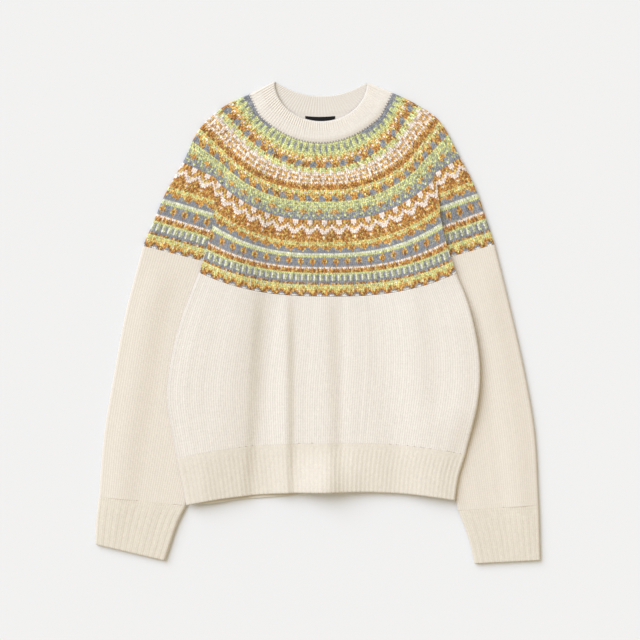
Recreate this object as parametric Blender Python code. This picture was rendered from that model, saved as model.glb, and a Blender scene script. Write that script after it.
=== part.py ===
"""Relaxed jumper with a knitted colourwork yoke, laid out flat with its sleeves down.

Every piece is a knitted wall lofted through sections that are worked out from the garment's
sizes. The two layers of each tube lie on each other, and the body lies over the inner edge
of both sleeves, so its layers rise there. Tables are in millimetres: +X is the wearer's left
as seen from above, +Y points to the neck and z = 0 is the surface that the garment lies on.
"""

from collections import namedtuple
import math

import bmesh
import bpy
import numpy as np

MM = 0.001

# Thickness of the knit and the gaps between its layers
WALL = 3.0
PLY_GAP = 0.5
SEAM_GAP = 0.3
STACK = 2.0 * WALL + PLY_GAP
EDGE_RADIUS = STACK / 2.0
BODY_LIFT = STACK + 0.7

# How far the body's layers stay raised past the hidden edge of a sleeve, then fall to the table
LIFT_MARGIN = 11.0
LIFT_FALL = 28.0
LIFT_TOP = 218.0
LIFT_FULL = 118.0

# Crowns: how far the upper wall stands off the lower one
BODY_CROWN = 1.0
SLEEVE_CROWN = 2.2
NECK_CROWN = 1.6
YOKE_CROWN = 0.8
MAX_RISE = 3.3
CROWN_MARGIN = 26.0

# Share of a sleeve's width that its crown spans, and how soon the crown of a cuff is lower
SLEEVE_CROWN_SHARE = 0.48
CUFF_CROWN = 0.6

# Eases: how many times faster than its row share each form comes in
YOKE_CROWN_EASE = 4.0
NECK_CROWN_EASE = 3.0
NECK_CROWN_START = 0.25
NECK_RIB_EASE_LENGTH = 4.0
ROW_BOW_EASE = 2.5
FOLD_EASE = 3.0
FOLD_START = 0.15
SLEEVE_RIM_EASE = 3.5
SLEEVE_CROWN_EASE = 5.0

# The tuck: the upper layer's outer side is this much quicker to its full height than its inner
TUCK_LEAD = 1.6

# Ribs: points to a step of the hem's rows, points to a cuff's rib and which of them are its
# crest, counts across the upper side, heights over the wall
HEM_RIB_POINTS = 8
CUFF_RIB_POINTS = 4
CUFF_RIB_CREST = (1, 2)
CUFF_RIBS = 13
NECK_RIBS_FRONT = 66
NECK_RIBS_BACK = 46
RIB_HEIGHT = 1.2
NECK_RIB_HEIGHT = 0.8
NECK_RIB_INSIDE = 0.4

# Shape of a row across the yoke and the body, and extra rise of the back neck
ROW_BOW = 2.6
NECK_BOW = 2.1
BACK_RISE_CENTRE = 40.0
BACK_RISE_SIDE = 25.0

# The back's hem shows below the front's on the first side, up to a share of the width
BACK_HEM_DROP = 4.5
DROP_END = 0.36
DROP_EASE = 9.0

# Steps along a row: over a shoulder, up the tuck, across the body and round a side fold
ARM_STEPS = 5
TUCK_STEPS = 4
BODY_STEPS = 16
ARC_STEPS = 3
HIDDEN_STEPS = 2
NECK_EDGE_STEPS = 50
LABEL_STEPS = 4

# Points to a step of the rows on the plain body and sleeves
PLAIN_POINTS = 2

# Edges sharper than this stay crisp in the looks of the plain model
SHARP_ANGLE = 50
KNIT_ROUGHNESS = 0.9

# Sections along each piece, as shares of its length
YOKE_SHARES = (0.0, 0.08, 0.2, 0.32, 0.44, 0.56, 0.68, 0.8, 0.91, 1.0)
BODY_SHARES = (0.0, 0.08, 0.17, 0.28, 0.4, 0.52, 0.64, 0.76, 0.88, 1.0)
BACK_SHARES = (0.0, 0.17, 0.38, 0.58, 0.78, 1.0)
SLEEVE_SHARES = (0.0, 0.06, 0.15, 0.27, 0.42, 0.6, 0.8, 1.0)
RIB_SHARES = (0.0, 0.5, 1.0)

# Half seam gaps on each side of the neck seam, more than 1 because its corners turn sharply
NECK_PULL = 2.2

# Yoke rows from the neck seam to the lower edge. The tuck is the fold by which the body lies
# over the sleeve: its foot lies on the sleeve and its crest on the body.
YokeRow = namedtuple(
    "YokeRow", "share shoulder_a foot_a crest_a centre_y crest_b foot_b shoulder_b")
YOKE_ROWS = [
    YokeRow(0.000, (-100, 330), (-87, 303), (-82, 296), 259, (91, 297), (96, 306), (109, 332)),
    YokeRow(0.125, (-132, 315), (-101, 278), (-95, 272), 231, (102, 270), (108, 277), (135, 320)),
    YokeRow(0.283, (-168, 284), (-124, 242), (-118, 236), 195, (126, 235), (132, 241), (173, 295)),
    YokeRow(0.490, (-194, 234), (-148, 212), (-142, 204), 150, (164, 206), (169, 218), (205, 241)),
    YokeRow(0.737, (-226, 175), (-158, 152), (-153, 136), 96, (180, 139), (185, 161), (233, 182)),
    YokeRow(0.812, (-233, 157), (-162, 132), (-158, 116), 80, (185, 117), (190, 138), (240, 161)),
    YokeRow(1.000, (-253, 111), (-176, 88), (-171, 72), 38, (200, 71), (205, 94), (256, 113)),
]

# Body rows from the yoke to the rib, then the hem rib: both side folds and the bow of the row
BodyRow = namedtuple("BodyRow", "share side_a side_b bow")
BODY_ROWS = [
    BodyRow(0.00, (-171, 72), (200, 71), -34),
    BodyRow(0.17, (-186, 34), (215, 34), -24),
    BodyRow(0.38, (-203, -17), (229, -22), -8),
    BodyRow(0.58, (-214, -69), (234, -70), 4),
    BodyRow(0.76, (-217, -112), (231, -113), 12),
    BodyRow(1.00, (-203, -196), (213, -191), 19),
]
HEM_ROWS = [
    BodyRow(0.00, (-203, -196), (213, -191), 19),
    BodyRow(0.50, (-195, -230), (203, -224), 17),
    BodyRow(1.00, (-189, -264), (198, -257), 15),
]

# Sleeve sections below the yoke, then the cuff: outer fold and inner fold
SleeveRow = namedtuple("SleeveRow", "share outer inner")
SLEEVE_A_ROWS = [
    SleeveRow(0.00, (-253, 111), (-133, 56)),
    SleeveRow(0.27, (-278, 15), (-146, -17)),
    SleeveRow(0.53, (-296, -80), (-158, -109)),
    SleeveRow(0.75, (-309, -159), (-170, -185)),
    SleeveRow(1.00, (-317, -252), (-190, -265)),
]
SLEEVE_B_ROWS = [
    SleeveRow(0.00, (256, 113), (154, 56)),
    SleeveRow(0.27, (280, 15), (163, -20)),
    SleeveRow(0.53, (301, -80), (173, -112)),
    SleeveRow(0.75, (314, -159), (185, -185)),
    SleeveRow(1.00, (320, -264), (203, -272)),
]
CUFF_A_ROWS = [
    SleeveRow(0.0, (-317, -252), (-190, -265)),
    SleeveRow(0.4, (-320, -283), (-202, -289)),
    SleeveRow(1.0, (-322, -321), (-221, -345)),
]
CUFF_B_ROWS = [
    SleeveRow(0.0, (320, -264), (203, -272)),
    SleeveRow(0.4, (321, -304), (216, -306)),
    SleeveRow(1.0, (322, -344), (227, -349)),
]

# Upper edge of the neckband: its corners on the shoulder folds and its lowest points
NECK_TOP_A = (-62, 349)
NECK_TOP_B = (71, 348)
NECK_TOP_FRONT_Y = 293
NECK_TOP_BACK_Y = 328

# Soft folds of the front below the yoke: x at the yoke and at the hem, height and half width
Fold = namedtuple("Fold", "x_top x_hem height half_width")
FRONT_FOLDS = [
    Fold(-91, -110, -0.9, 12),
    Fold(-62, -74, 0.9, 15),
    Fold(-37, -36, -1.0, 5),
    Fold(-10, -14, 1.9, 13),
    Fold(22, 28, -1.0, 10),
    Fold(70, 86, 0.7, 22),
    Fold(132, 150, 0.8, 20),
]
FOLD_TOP_Y = 60.0
FOLD_HEM_Y = -257.0

# Woven label at the back neck, plain
LABEL_SHARE_FROM = 0.40
LABEL_SHARE_TO = 0.59
LABEL_DEPTH = 8.0
LABEL_THICK = 0.7

CREAM = (0.86, 0.80, 0.70)
CREAM_SHADE = (0.80, 0.74, 0.64)
COLOURWORK = (0.55, 0.42, 0.16)
LABEL_BLACK = (0.02, 0.018, 0.02)

GARMENT = bpy.data.collections.new("jumper")


def smoothstep(value):
    """Ease from 0 to 1 while the value goes from 0 to 1."""
    value = min(max(value, 0.0), 1.0)
    return value * value * (3.0 - 2.0 * value)


def flat_numbers(row):
    """All numbers of a table row in one array."""
    numbers = []
    for item in row:
        numbers.extend(item if isinstance(item, tuple) else (item,))
    return np.array(numbers, dtype=float)


def between_rows(rows, share):
    """Smooth curve through the rows of a table, read at a share of its length."""
    table = np.array([flat_numbers(row) for row in rows])
    keys = table[:, 0]
    slopes = np.gradient(table, keys, axis=0)
    low = int(np.clip(np.searchsorted(keys, share) - 1, 0, len(keys) - 2))
    span = keys[low + 1] - keys[low]
    t = (share - keys[low]) / span
    return ((1 + 2 * t) * (1 - t) ** 2 * table[low] + t * (1 - t) ** 2 * span * slopes[low]
            + t * t * (3 - 2 * t) * table[low + 1] + t * t * (t - 1) * span * slopes[low + 1])


def sleeve_inner_x(y, rows):
    """X of a sleeve's hidden inner fold at a height y on the table."""
    ys = [row.inner[1] for row in rows][::-1]
    xs = [row.inner[0] for row in rows][::-1]
    return float(np.interp(y, ys, xs))


def lift(x, y):
    """Height by which a sleeve raises the layers that lie on it."""
    past_a = x - sleeve_inner_x(y, SLEEVE_A_ROWS) - LIFT_MARGIN
    past_b = sleeve_inner_x(y, SLEEVE_B_ROWS) - LIFT_MARGIN - x
    across = 1.0 - smoothstep(min(past_a, past_b) / LIFT_FALL)
    along = smoothstep((LIFT_TOP - y) / (LIFT_TOP - LIFT_FULL))
    return BODY_LIFT * across * along


def bowed(start, end, depth_y, bow, count):
    """Points of a row that hangs from its two ends to a lowest or highest point."""
    points = []
    for step in range(count + 1):
        share = step / count
        level = start[1] + (end[1] - start[1]) * share
        middle = (start[1] + end[1]) / 2.0
        depth = (depth_y - middle) * (1.0 - abs(2.0 * share - 1.0) ** bow)
        points.append((start[0] + (end[0] - start[0]) * share, level + depth))
    return points


def yoke_row(share, back):
    """Key points of one yoke row, from the first shoulder fold to the second."""
    numbers = between_rows(YOKE_ROWS, share)
    shoulder_a, foot_a, crest_a = numbers[1:3], numbers[3:5], numbers[5:7]
    centre_y, crest_b, foot_b, shoulder_b = numbers[7], numbers[8:10], numbers[10:12], numbers[12:14]
    rise_side = BACK_RISE_SIDE * (1.0 - share) if back else 0.0
    rise_centre = BACK_RISE_CENTRE * (1.0 - share) if back else 0.0
    up = np.array([0.0, rise_side])
    bow = NECK_BOW + (ROW_BOW - NECK_BOW) * smoothstep(share * ROW_BOW_EASE)
    return (shoulder_a, foot_a + up, crest_a + up, centre_y + rise_centre, crest_b + up,
            foot_b + up, shoulder_b, bow)


def yoke_line(share, back):
    """Plan points of one yoke row and how far each lies up the tuck, 0 at its foot."""
    shoulder_a, foot_a, crest_a, centre_y, crest_b, foot_b, shoulder_b, bow = yoke_row(share, back)
    points, climbs = [], []

    def straight(start, end, steps, climb_from, climb_to):
        for step in range(steps):
            part = step / steps
            points.append(tuple(start + (end - start) * part))
            climbs.append(climb_from + (climb_to - climb_from) * part)

    straight(shoulder_a, foot_a, ARM_STEPS, 0.0, 0.0)
    straight(foot_a, crest_a, TUCK_STEPS, 0.0, 1.0)
    points.extend(bowed(crest_a, crest_b, centre_y, bow, BODY_STEPS)[:-1])
    climbs.extend([1.0] * BODY_STEPS)
    straight(crest_b, foot_b, TUCK_STEPS, 1.0, 0.0)
    straight(foot_b, shoulder_b, ARM_STEPS, 0.0, 0.0)
    points.append(tuple(shoulder_b))
    climbs.append(0.0)
    return np.array(points), np.array(climbs)


def lengths_along(points):
    """Distance of each point from the first, along the line."""
    steps = np.linalg.norm(np.diff(points, axis=0), axis=1)
    return np.concatenate([[0.0], np.cumsum(steps)])


def read_line(points, lengths, at):
    """Plan points read at given distances along a line."""
    return np.stack([np.interp(at, lengths, points[:, axis]) for axis in range(points.shape[1])], axis=1)


def evenly(points, count, trim=EDGE_RADIUS):
    """Even points along a line, stopping short of both ends by the fold's radius."""
    lengths = lengths_along(points)
    return read_line(points, lengths, np.linspace(trim, lengths[-1] - trim, count + 1))


def divided(points, factor, trim):
    """A line's own points with each step divided, stopping short of both ends by a trim."""
    line = np.array(points, dtype=float)
    line[0] = line[0] + unit(line[1] - line[0]) * trim
    line[-1] = line[-1] + unit(line[-2] - line[-1]) * trim
    shares = np.linspace(0, len(line) - 1, (len(line) - 1) * factor + 1)
    return read_line(line, np.arange(len(line)), shares)


def pulled(rows, at_start, at_end):
    """Rows of plan points with the first and last drawn in by so many half seam gaps."""
    rows = [np.array(row, dtype=float) for row in rows]
    for index, towards, wanted in ((0, 1, at_start), (-1, -2, at_end)):
        if wanted:
            step = rows[towards] - rows[index]
            step = step / np.linalg.norm(step, axis=1)[:, None]
            rows[index] = rows[index] + step * wanted * SEAM_GAP / 2.0
    return rows


def fold_arc(edge, inward_low, inward_high, base, half):
    """Outer and inner points round a side fold, from the lower wall up to the upper one."""
    outer, inner = [], []
    slit = PLY_GAP / 2.0
    for step in range(1, 2 * ARC_STEPS):
        angle = math.pi * (step / (2 * ARC_STEPS) - 0.5)
        turn = (math.sin(angle) + 1.0) / 2.0
        inward = inward_low * (1.0 - turn) + inward_high * turn
        middle = base + STACK / 2.0
        outer.append((*(edge + inward * EDGE_RADIUS * (1 - math.cos(angle))),
                      middle + EDGE_RADIUS * math.sin(angle)))
        inner.append((*(edge + inward * (EDGE_RADIUS - slit * math.cos(angle))),
                      middle + slit * math.sin(angle)))
    if half == "upper":
        return outer[ARC_STEPS - 1:], inner[ARC_STEPS - 1:]
    if half == "lower":
        return outer[:ARC_STEPS], inner[:ARC_STEPS]
    return outer, inner


def unit(vector):
    """The vector at length 1."""
    return vector / np.linalg.norm(vector)


def close_wall(name, outer, inner, wraps, colour):
    """Closed solid between two grids of points: rows along the piece, columns round it."""
    outer = np.array(outer)
    inner = np.array(inner)
    mesh = bmesh.new()
    grids = [[[mesh.verts.new(point * MM) for point in row] for row in grid] for grid in (outer, inner)]
    columns = outer.shape[1]
    spans = [(i, (i + 1) % columns) for i in range(columns if wraps else columns - 1)]
    for grid in grids:
        for low, high in zip(grid[:-1], grid[1:]):
            for i, k in spans:
                mesh.faces.new((low[i], low[k], high[k], high[i]))
    for a, b in ((grids[0][0], grids[1][0]), (grids[0][-1], grids[1][-1])):
        for i, k in spans:
            mesh.faces.new((a[i], b[i], b[k]))
            mesh.faces.new((a[i], b[k], a[k]))
    if not wraps:
        for i in (0, columns - 1):
            side_out = [row[i] for row in grids[0]]
            side_in = [row[i] for row in grids[1]]
            for j in range(len(side_out) - 1):
                mesh.faces.new((side_out[j], side_out[j + 1], side_in[j + 1], side_in[j]))
    bmesh.ops.triangulate(mesh, faces=mesh.faces[:])
    bmesh.ops.recalc_face_normals(mesh, faces=mesh.faces[:])
    data = bpy.data.meshes.new(name)
    mesh.to_mesh(data)
    mesh.free()
    piece = bpy.data.objects.new(name, data)
    GARMENT.objects.link(piece)
    data.shade_smooth()
    data.set_sharp_from_angle(angle=math.radians(SHARP_ANGLE))
    data.materials.append(knit_material(name, colour))
    return piece


def knit_material(name, colour):
    """Matt yarn in one colour."""
    material = bpy.data.materials.new(name + "_yarn")
    material.use_nodes = True
    shader = material.node_tree.nodes["Principled BSDF"]
    shader.inputs["Base Color"].default_value = (*colour, 1.0)
    shader.inputs["Roughness"].default_value = KNIT_ROUGHNESS
    shader.inputs["Metallic"].default_value = 0.0
    return material


def tube_ring(front, back, edge_a, edge_b, levels_front, levels_back):
    """One section of a flattened tube: upper wall, fold, lower wall and fold.

    The levels give the height of each point's outer and inner surface."""
    upper_out = [(x, y, z) for (x, y), (z, _) in zip(front, levels_front)]
    upper_in = [(x, y, z) for (x, y), (_, z) in zip(front, levels_front)]
    lower_out = [(x, y, z) for (x, y), (z, _) in zip(back, levels_back)]
    lower_in = [(x, y, z) for (x, y), (_, z) in zip(back, levels_back)]
    arc_a = fold_arc(edge_a, unit(back[0] - edge_a), unit(front[0] - edge_a), 0.0, "whole")
    arc_b = fold_arc(edge_b, unit(back[-1] - edge_b), unit(front[-1] - edge_b), 0.0, "whole")
    outer = upper_out + arc_b[0][::-1] + lower_out[::-1] + arc_a[0]
    inner = upper_in + arc_b[1][::-1] + lower_in[::-1] + arc_a[1]
    return outer, inner


def crown(distance, length, height):
    """Rise of the upper wall, 0 at both folds and full a margin away from them."""
    return height * smoothstep(min(distance, length - distance) / CROWN_MARGIN)


def yoke_levels(points, climbs, line_lengths, share, upper):
    """Outer and inner height of each yoke point, each layer's step set one wall further in."""
    levels = []
    for (x, y), climb, distance in zip(points, climbs, line_lengths):
        raised = lift(x, y)
        rise = crown(distance, line_lengths[-1], YOKE_CROWN) * smoothstep(share * YOKE_CROWN_EASE) \
            * smoothstep((1.0 - share) * YOKE_CROWN_EASE)
        if upper:
            outer = STACK + raised * smoothstep(climb * TUCK_LEAD) + rise
            inner = STACK - WALL + raised * smoothstep(climb * TUCK_LEAD - (TUCK_LEAD - 1.0)) + rise
        else:
            outer = raised * smoothstep(climb)
            inner = WALL + raised * smoothstep(climb)
        levels.append((outer, inner))
    return levels


def back_inward(points, climbs):
    """Shift of the lower layers' tuck towards the body, a stack's height past the upper one."""
    shifted = points.copy()
    middle = points[:, 0].mean()
    for index, climb in enumerate(climbs):
        on_tuck = 0.0 < climb < 1.0 or (climb == 1.0 and (climbs[index - 1] < 1.0
                                                          or climbs[index + 1] < 1.0))
        if on_tuck:
            step = STACK * lift(*points[index]) / BODY_LIFT
            shifted[index, 0] += math.copysign(step, middle - points[index, 0])
    return shifted


def build_yoke():
    """Colourwork yoke: one ring from the neck seam to the body and both sleeves."""
    upper_lines, lower_lines, shoulders = [], [], []
    for share in YOKE_SHARES:
        line, climbs = yoke_line(share, False)
        upper_lines.append(line)
        back_line, back_climbs = yoke_line(share, True)
        lower_lines.append(back_line)
        shoulders.append(np.array([line[0], line[-1]]))
    upper_lines = pulled(upper_lines, NECK_PULL, True)
    lower_lines = pulled(lower_lines, NECK_PULL, True)
    shoulders = pulled(shoulders, NECK_PULL, True)
    outer, inner = [], []
    for share, line, back_line, ends in zip(YOKE_SHARES, upper_lines, lower_lines, shoulders):
        front = divided(line, 1, EDGE_RADIUS)
        back = divided(back_line, 1, EDGE_RADIUS)
        front_levels = yoke_levels(front, climbs, lengths_along(front), share, True)
        back_levels = yoke_levels(back, back_climbs, lengths_along(back), share, False)
        back = back_inward(back, back_climbs)
        ring = tube_ring(front, back, ends[0], ends[1], front_levels, back_levels)
        outer.append(ring[0])
        inner.append(ring[1])
    return close_wall("yoke", outer, inner, True, COLOURWORK)


def half_ellipse(start, end, depth_y, count):
    """Half an ellipse that hangs from two corners."""
    points = []
    for step in range(count + 1):
        angle = math.pi * step / count
        share = (1.0 - math.cos(angle)) / 2.0
        level = start[1] + (end[1] - start[1]) * share
        middle = (start[1] + end[1]) / 2.0
        points.append((start[0] + (end[0] - start[0]) * share,
                       level + (depth_y - middle) * math.sin(angle)))
    return np.array(points)


def neck_lines(back):
    """The neckband's seam line and its upper edge, front or back half."""
    seam, _ = yoke_line(0.0, back)
    if back:
        edge = np.array(bowed(NECK_TOP_A, NECK_TOP_B, NECK_TOP_BACK_Y, NECK_BOW, NECK_EDGE_STEPS))
    else:
        edge = half_ellipse(NECK_TOP_A, NECK_TOP_B, NECK_TOP_FRONT_Y, NECK_EDGE_STEPS)
    return seam, edge


def build_neckband():
    """Ribbed neckband: a ring from the yoke's seam up to its open edge."""
    front_seam, front_edge = neck_lines(False)
    back_seam, back_edge = neck_lines(True)
    front_rows = [evenly(front_seam + (matched_edge(front_seam, front_edge) - front_seam) * s,
                         2 * NECK_RIBS_FRONT) for s in RIB_SHARES]
    back_rows = [evenly(back_seam + (matched_edge(back_seam, back_edge) - back_seam) * s,
                        2 * NECK_RIBS_BACK) for s in RIB_SHARES]
    ends = [np.array([front_seam[0] * (1 - s) + front_edge[0] * s,
                      front_seam[-1] * (1 - s) + front_edge[-1] * s]) for s in RIB_SHARES]
    front_rows = pulled(front_rows, NECK_PULL, False)
    back_rows = pulled(back_rows, NECK_PULL, False)
    ends = pulled(ends, NECK_PULL, False)
    outer, inner = [], []
    for share, front, back, corner in zip(RIB_SHARES, front_rows, back_rows, ends):
        lengths = lengths_along(front)
        front_levels, back_levels = [], []
        ease = smoothstep(share * NECK_CROWN_EASE + NECK_CROWN_START)
        for index, distance in enumerate(lengths):
            rise = crown(distance, lengths[-1], NECK_CROWN) * ease
            from_fold = min(distance, lengths[-1] - distance)
            rib = NECK_RIB_HEIGHT * (index % 2) * smoothstep(from_fold / NECK_RIB_EASE_LENGTH)
            front_levels.append((STACK + rise + rib, STACK - WALL + rise))
        for index in range(len(back)):
            on_rib = index % 2 and index < len(back) - 1
            back_levels.append((0.0, WALL + (NECK_RIB_INSIDE if on_rib else 0.0)))
        ring = tube_ring(front, back, corner[0], corner[1], front_levels, back_levels)
        outer.append(ring[0])
        inner.append(ring[1])
    return close_wall("neckband", outer, inner, True, CREAM)


def matched_edge(seam, edge):
    """The upper edge read at the same shares of length as the seam's points."""
    seam_lengths = lengths_along(seam)
    edge_lengths = lengths_along(edge)
    return read_line(edge, edge_lengths, seam_lengths / seam_lengths[-1] * edge_lengths[-1])


def body_line(row, factor, drop=0.0):
    """Plan points across a body row, short of both side folds, and the two folds."""
    side_a, side_b, bow_height = row[1:3], row[3:5], row[5]
    depth_y = (side_a[1] + side_b[1]) / 2.0 + bow_height
    line = np.array(bowed(side_a, side_b, depth_y, ROW_BOW, BODY_STEPS))
    if drop:
        share = (line[:, 0] - side_a[0]) / (side_b[0] - side_a[0])
        line[:, 1] -= [drop * (smoothstep(s * DROP_EASE) - smoothstep((s - DROP_END) * DROP_EASE))
                       for s in share]
    return divided(line, factor, EDGE_RADIUS), line[[0, -1]]


def fold_rise(x, y, folds):
    """Rise of the front's upper layer over its crown, ridges less troughs."""
    along = (FOLD_TOP_Y - y) / (FOLD_TOP_Y - FOLD_HEM_Y)
    strength = smoothstep(along * FOLD_EASE + FOLD_START)
    total = 0.0
    for fold in folds:
        centre = fold.x_top + (fold.x_hem - fold.x_top) * along
        total += fold.height * math.exp(-((x - centre) / fold.half_width) ** 2)
    return total * strength


def build_body_panel(name, rows, shares, upper, factor, ribs=False, drop=0.0, open_end=False,
                     colour=CREAM):
    """Front or back of the body or of its hem, from one side fold to the other."""
    half = "upper" if upper else "lower"
    read = [body_line(between_rows(rows, share), factor, drop * share) for share in shares]
    lines = pulled([line for line, _ in read], True, not open_end)
    ends = pulled([pair for _, pair in read], True, not open_end)
    outer, inner = [], []
    for line, pair in zip(lines, ends):
        lengths = lengths_along(line)
        row_out, row_in = [], []
        for index, ((x, y), distance) in enumerate(zip(line, lengths)):
            base = lift(x, y)
            if upper:
                rise = crown(distance, lengths[-1], BODY_CROWN + fold_rise(x, y, FRONT_FOLDS))
                rise = min(max(rise, 0.0), MAX_RISE)
                rib = RIB_HEIGHT * (index % 2) if ribs else 0.0
                row_out.append((x, y, base + STACK + rise + rib))
                row_in.append((x, y, base + STACK - WALL + rise))
            else:
                row_out.append((x, y, base))
                row_in.append((x, y, base + WALL))
        arcs = []
        for edge, near in ((pair[0], line[0]), (pair[1], line[-1])):
            inward = unit(near - edge)
            arcs.append(fold_arc(edge, inward, inward, lift(*near), half))
        for arc in arcs:
            parting = SEAM_GAP / 2.0 if upper else -SEAM_GAP / 2.0
            rim = 0 if upper else -1
            for points in arc:
                x, y, z = points[rim]
                points[rim] = (x, y, z + parting)
        if upper:
            outer.append(arcs[0][0] + row_out + arcs[1][0][::-1])
            inner.append(arcs[0][1] + row_in + arcs[1][1][::-1])
        else:
            outer.append(arcs[0][0][::-1] + row_out + arcs[1][0])
            inner.append(arcs[0][1][::-1] + row_in + arcs[1][1])
    return close_wall(name, outer, inner, False, colour)


def sleeve_rim_line(side):
    """Yoke's lower edge from the shoulder fold, over the tuck, to the hidden inner fold."""
    line, _ = yoke_line(1.0, False)
    line = line if side < 0 else line[::-1]
    return line[:ARM_STEPS + TUCK_STEPS + HIDDEN_STEPS + 1]


def build_sleeve(name, rows, side, shares, factor, ribs=False):
    """Flattened tube of a sleeve or cuff: its outer fold shows, its inner fold is hidden."""
    rim = sleeve_rim_line(side)
    rim_shares = lengths_along(rim) / lengths_along(rim)[-1]
    if ribs:
        rim_shares = np.linspace(0.0, 1.0, CUFF_RIBS + 1)
    upper_lines, lower_lines, ends = [], [], []
    for share in shares:
        numbers = between_rows(rows, share)
        chord = numbers[1:3] + (numbers[3:5] - numbers[1:3]) * rim_shares[:, None]
        if not ribs:
            first = flat_numbers(rows[0])
            start = first[1:3] + (first[3:5] - first[1:3]) * rim_shares[:, None]
            chord = chord + (rim - start) * (1.0 - smoothstep(share * SLEEVE_RIM_EASE))
        upper_lines.append(divided(chord, factor, EDGE_RADIUS))
        lower_lines.append(divided(chord, 1, EDGE_RADIUS))
        ends.append(chord[[0, -1]])
    upper_lines = pulled(upper_lines, True, not ribs)
    lower_lines = pulled(lower_lines, True, not ribs)
    ends = pulled(ends, True, not ribs)
    outer, inner = [], []
    for share, front, back, pair in zip(shares, upper_lines, lower_lines, ends):
        width = np.linalg.norm(pair[1] - pair[0])
        front_levels = []
        for index, point in enumerate(front):
            across_share = np.linalg.norm(point - pair[0]) / width
            puff = math.sin(math.pi * min(across_share / SLEEVE_CROWN_SHARE, 1.0)) ** 2
            fade = (1.0 - share) * CUFF_CROWN if ribs else smoothstep(share * SLEEVE_CROWN_EASE)
            rise = SLEEVE_CROWN * puff * fade
            rib = RIB_HEIGHT * (index % CUFF_RIB_POINTS in CUFF_RIB_CREST) if ribs else 0.0
            front_levels.append((STACK + rise + rib, STACK - WALL + rise))
        back_levels = [(0.0, WALL)] * len(back)
        ring = tube_ring(front, back, pair[0], pair[1], front_levels, back_levels)
        outer.append(ring[0])
        inner.append(ring[1])
    return close_wall(name, outer, inner, True, CREAM_SHADE)


def build_label():
    """Plain woven label on the inside of the back, just under the neckband's seam."""
    first, last = [], []
    seam, _ = yoke_line(0.0, True)
    seam_lengths = lengths_along(seam)
    at = np.linspace(LABEL_SHARE_FROM, LABEL_SHARE_TO, LABEL_STEPS + 1) * seam_lengths[-1]
    top_line = read_line(seam, seam_lengths, at)
    for x, y in top_line:
        first.append((x, y - SEAM_GAP))
        last.append((x, y - SEAM_GAP - LABEL_DEPTH))
    low = WALL + SEAM_GAP
    outer = [[(x, y, low + LABEL_THICK) for x, y in row] for row in (first, last)]
    inner = [[(x, y, low) for x, y in row] for row in (first, last)]
    return close_wall("label", outer, inner, False, LABEL_BLACK)


def build_jumper():
    """All pieces of the jumper."""
    for item in list(bpy.data.objects):
        bpy.data.objects.remove(item, do_unlink=True)
    bpy.context.scene.collection.children.link(GARMENT)
    build_yoke()
    build_neckband()
    build_body_panel("front_body", BODY_ROWS, BODY_SHARES, True, PLAIN_POINTS)
    build_body_panel("back_body", BODY_ROWS, BACK_SHARES, False, PLAIN_POINTS, colour=CREAM_SHADE)
    build_body_panel("hem_front", HEM_ROWS, RIB_SHARES, True, HEM_RIB_POINTS, ribs=True, open_end=True)
    build_body_panel("hem_back", HEM_ROWS, RIB_SHARES, False, PLAIN_POINTS, drop=BACK_HEM_DROP,
                     open_end=True, colour=CREAM_SHADE)
    build_sleeve("sleeve_left", SLEEVE_A_ROWS, -1, SLEEVE_SHARES, PLAIN_POINTS)
    build_sleeve("sleeve_right", SLEEVE_B_ROWS, 1, SLEEVE_SHARES, PLAIN_POINTS)
    build_sleeve("cuff_left", CUFF_A_ROWS, -1, RIB_SHARES, CUFF_RIB_POINTS, ribs=True)
    build_sleeve("cuff_right", CUFF_B_ROWS, 1, RIB_SHARES, CUFF_RIB_POINTS, ribs=True)
    build_label()


build_jumper()
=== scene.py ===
"""Looks of a relaxed jumper with a colourwork yoke, laid out flat on a pale surface.

Each CAD wall is replaced by a knitted one that follows the same form in real stitches. Tables
are in millimetres in the CAD's frame: +X to the right of the picture, +Y to the neck, z = 0 the
surface. Colourwork comes from short charts of common stranded repeats.
"""
from dataclasses import dataclass, replace
from enum import Enum
import logging
import math
from typing import NamedTuple

import bmesh
import bpy
import numpy as np
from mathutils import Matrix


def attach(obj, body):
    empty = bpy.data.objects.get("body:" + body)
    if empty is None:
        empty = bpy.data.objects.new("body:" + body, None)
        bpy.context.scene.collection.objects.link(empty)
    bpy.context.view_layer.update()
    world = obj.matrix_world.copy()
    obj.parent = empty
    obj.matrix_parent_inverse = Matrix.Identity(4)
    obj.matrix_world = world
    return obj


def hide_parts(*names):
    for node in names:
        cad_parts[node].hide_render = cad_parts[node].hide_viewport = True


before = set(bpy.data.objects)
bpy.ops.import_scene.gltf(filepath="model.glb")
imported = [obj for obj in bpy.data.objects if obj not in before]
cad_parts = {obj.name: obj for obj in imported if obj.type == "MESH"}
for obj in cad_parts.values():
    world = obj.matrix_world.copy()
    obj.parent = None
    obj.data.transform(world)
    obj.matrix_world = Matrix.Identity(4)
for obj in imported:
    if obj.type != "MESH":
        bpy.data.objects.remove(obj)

LOG = logging.getLogger("jumper")
MM = 0.001
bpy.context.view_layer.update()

# Knit wall, and the lift of the layers that lie on a sleeve, as in the CAD
WALL = 3.0
PLY_GAP = 0.5
SEAM_GAP = 0.3
STACK = 2.0 * WALL + PLY_GAP
EDGE_RADIUS = STACK / 2.0
SLIT = PLY_GAP / 2.0
BODY_LIFT = STACK + 0.7
LIFT_MARGIN = 11.0
LIFT_FALL = 75.0
LIFT_TOP = 226.0
LIFT_FULL = 140.0

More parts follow.
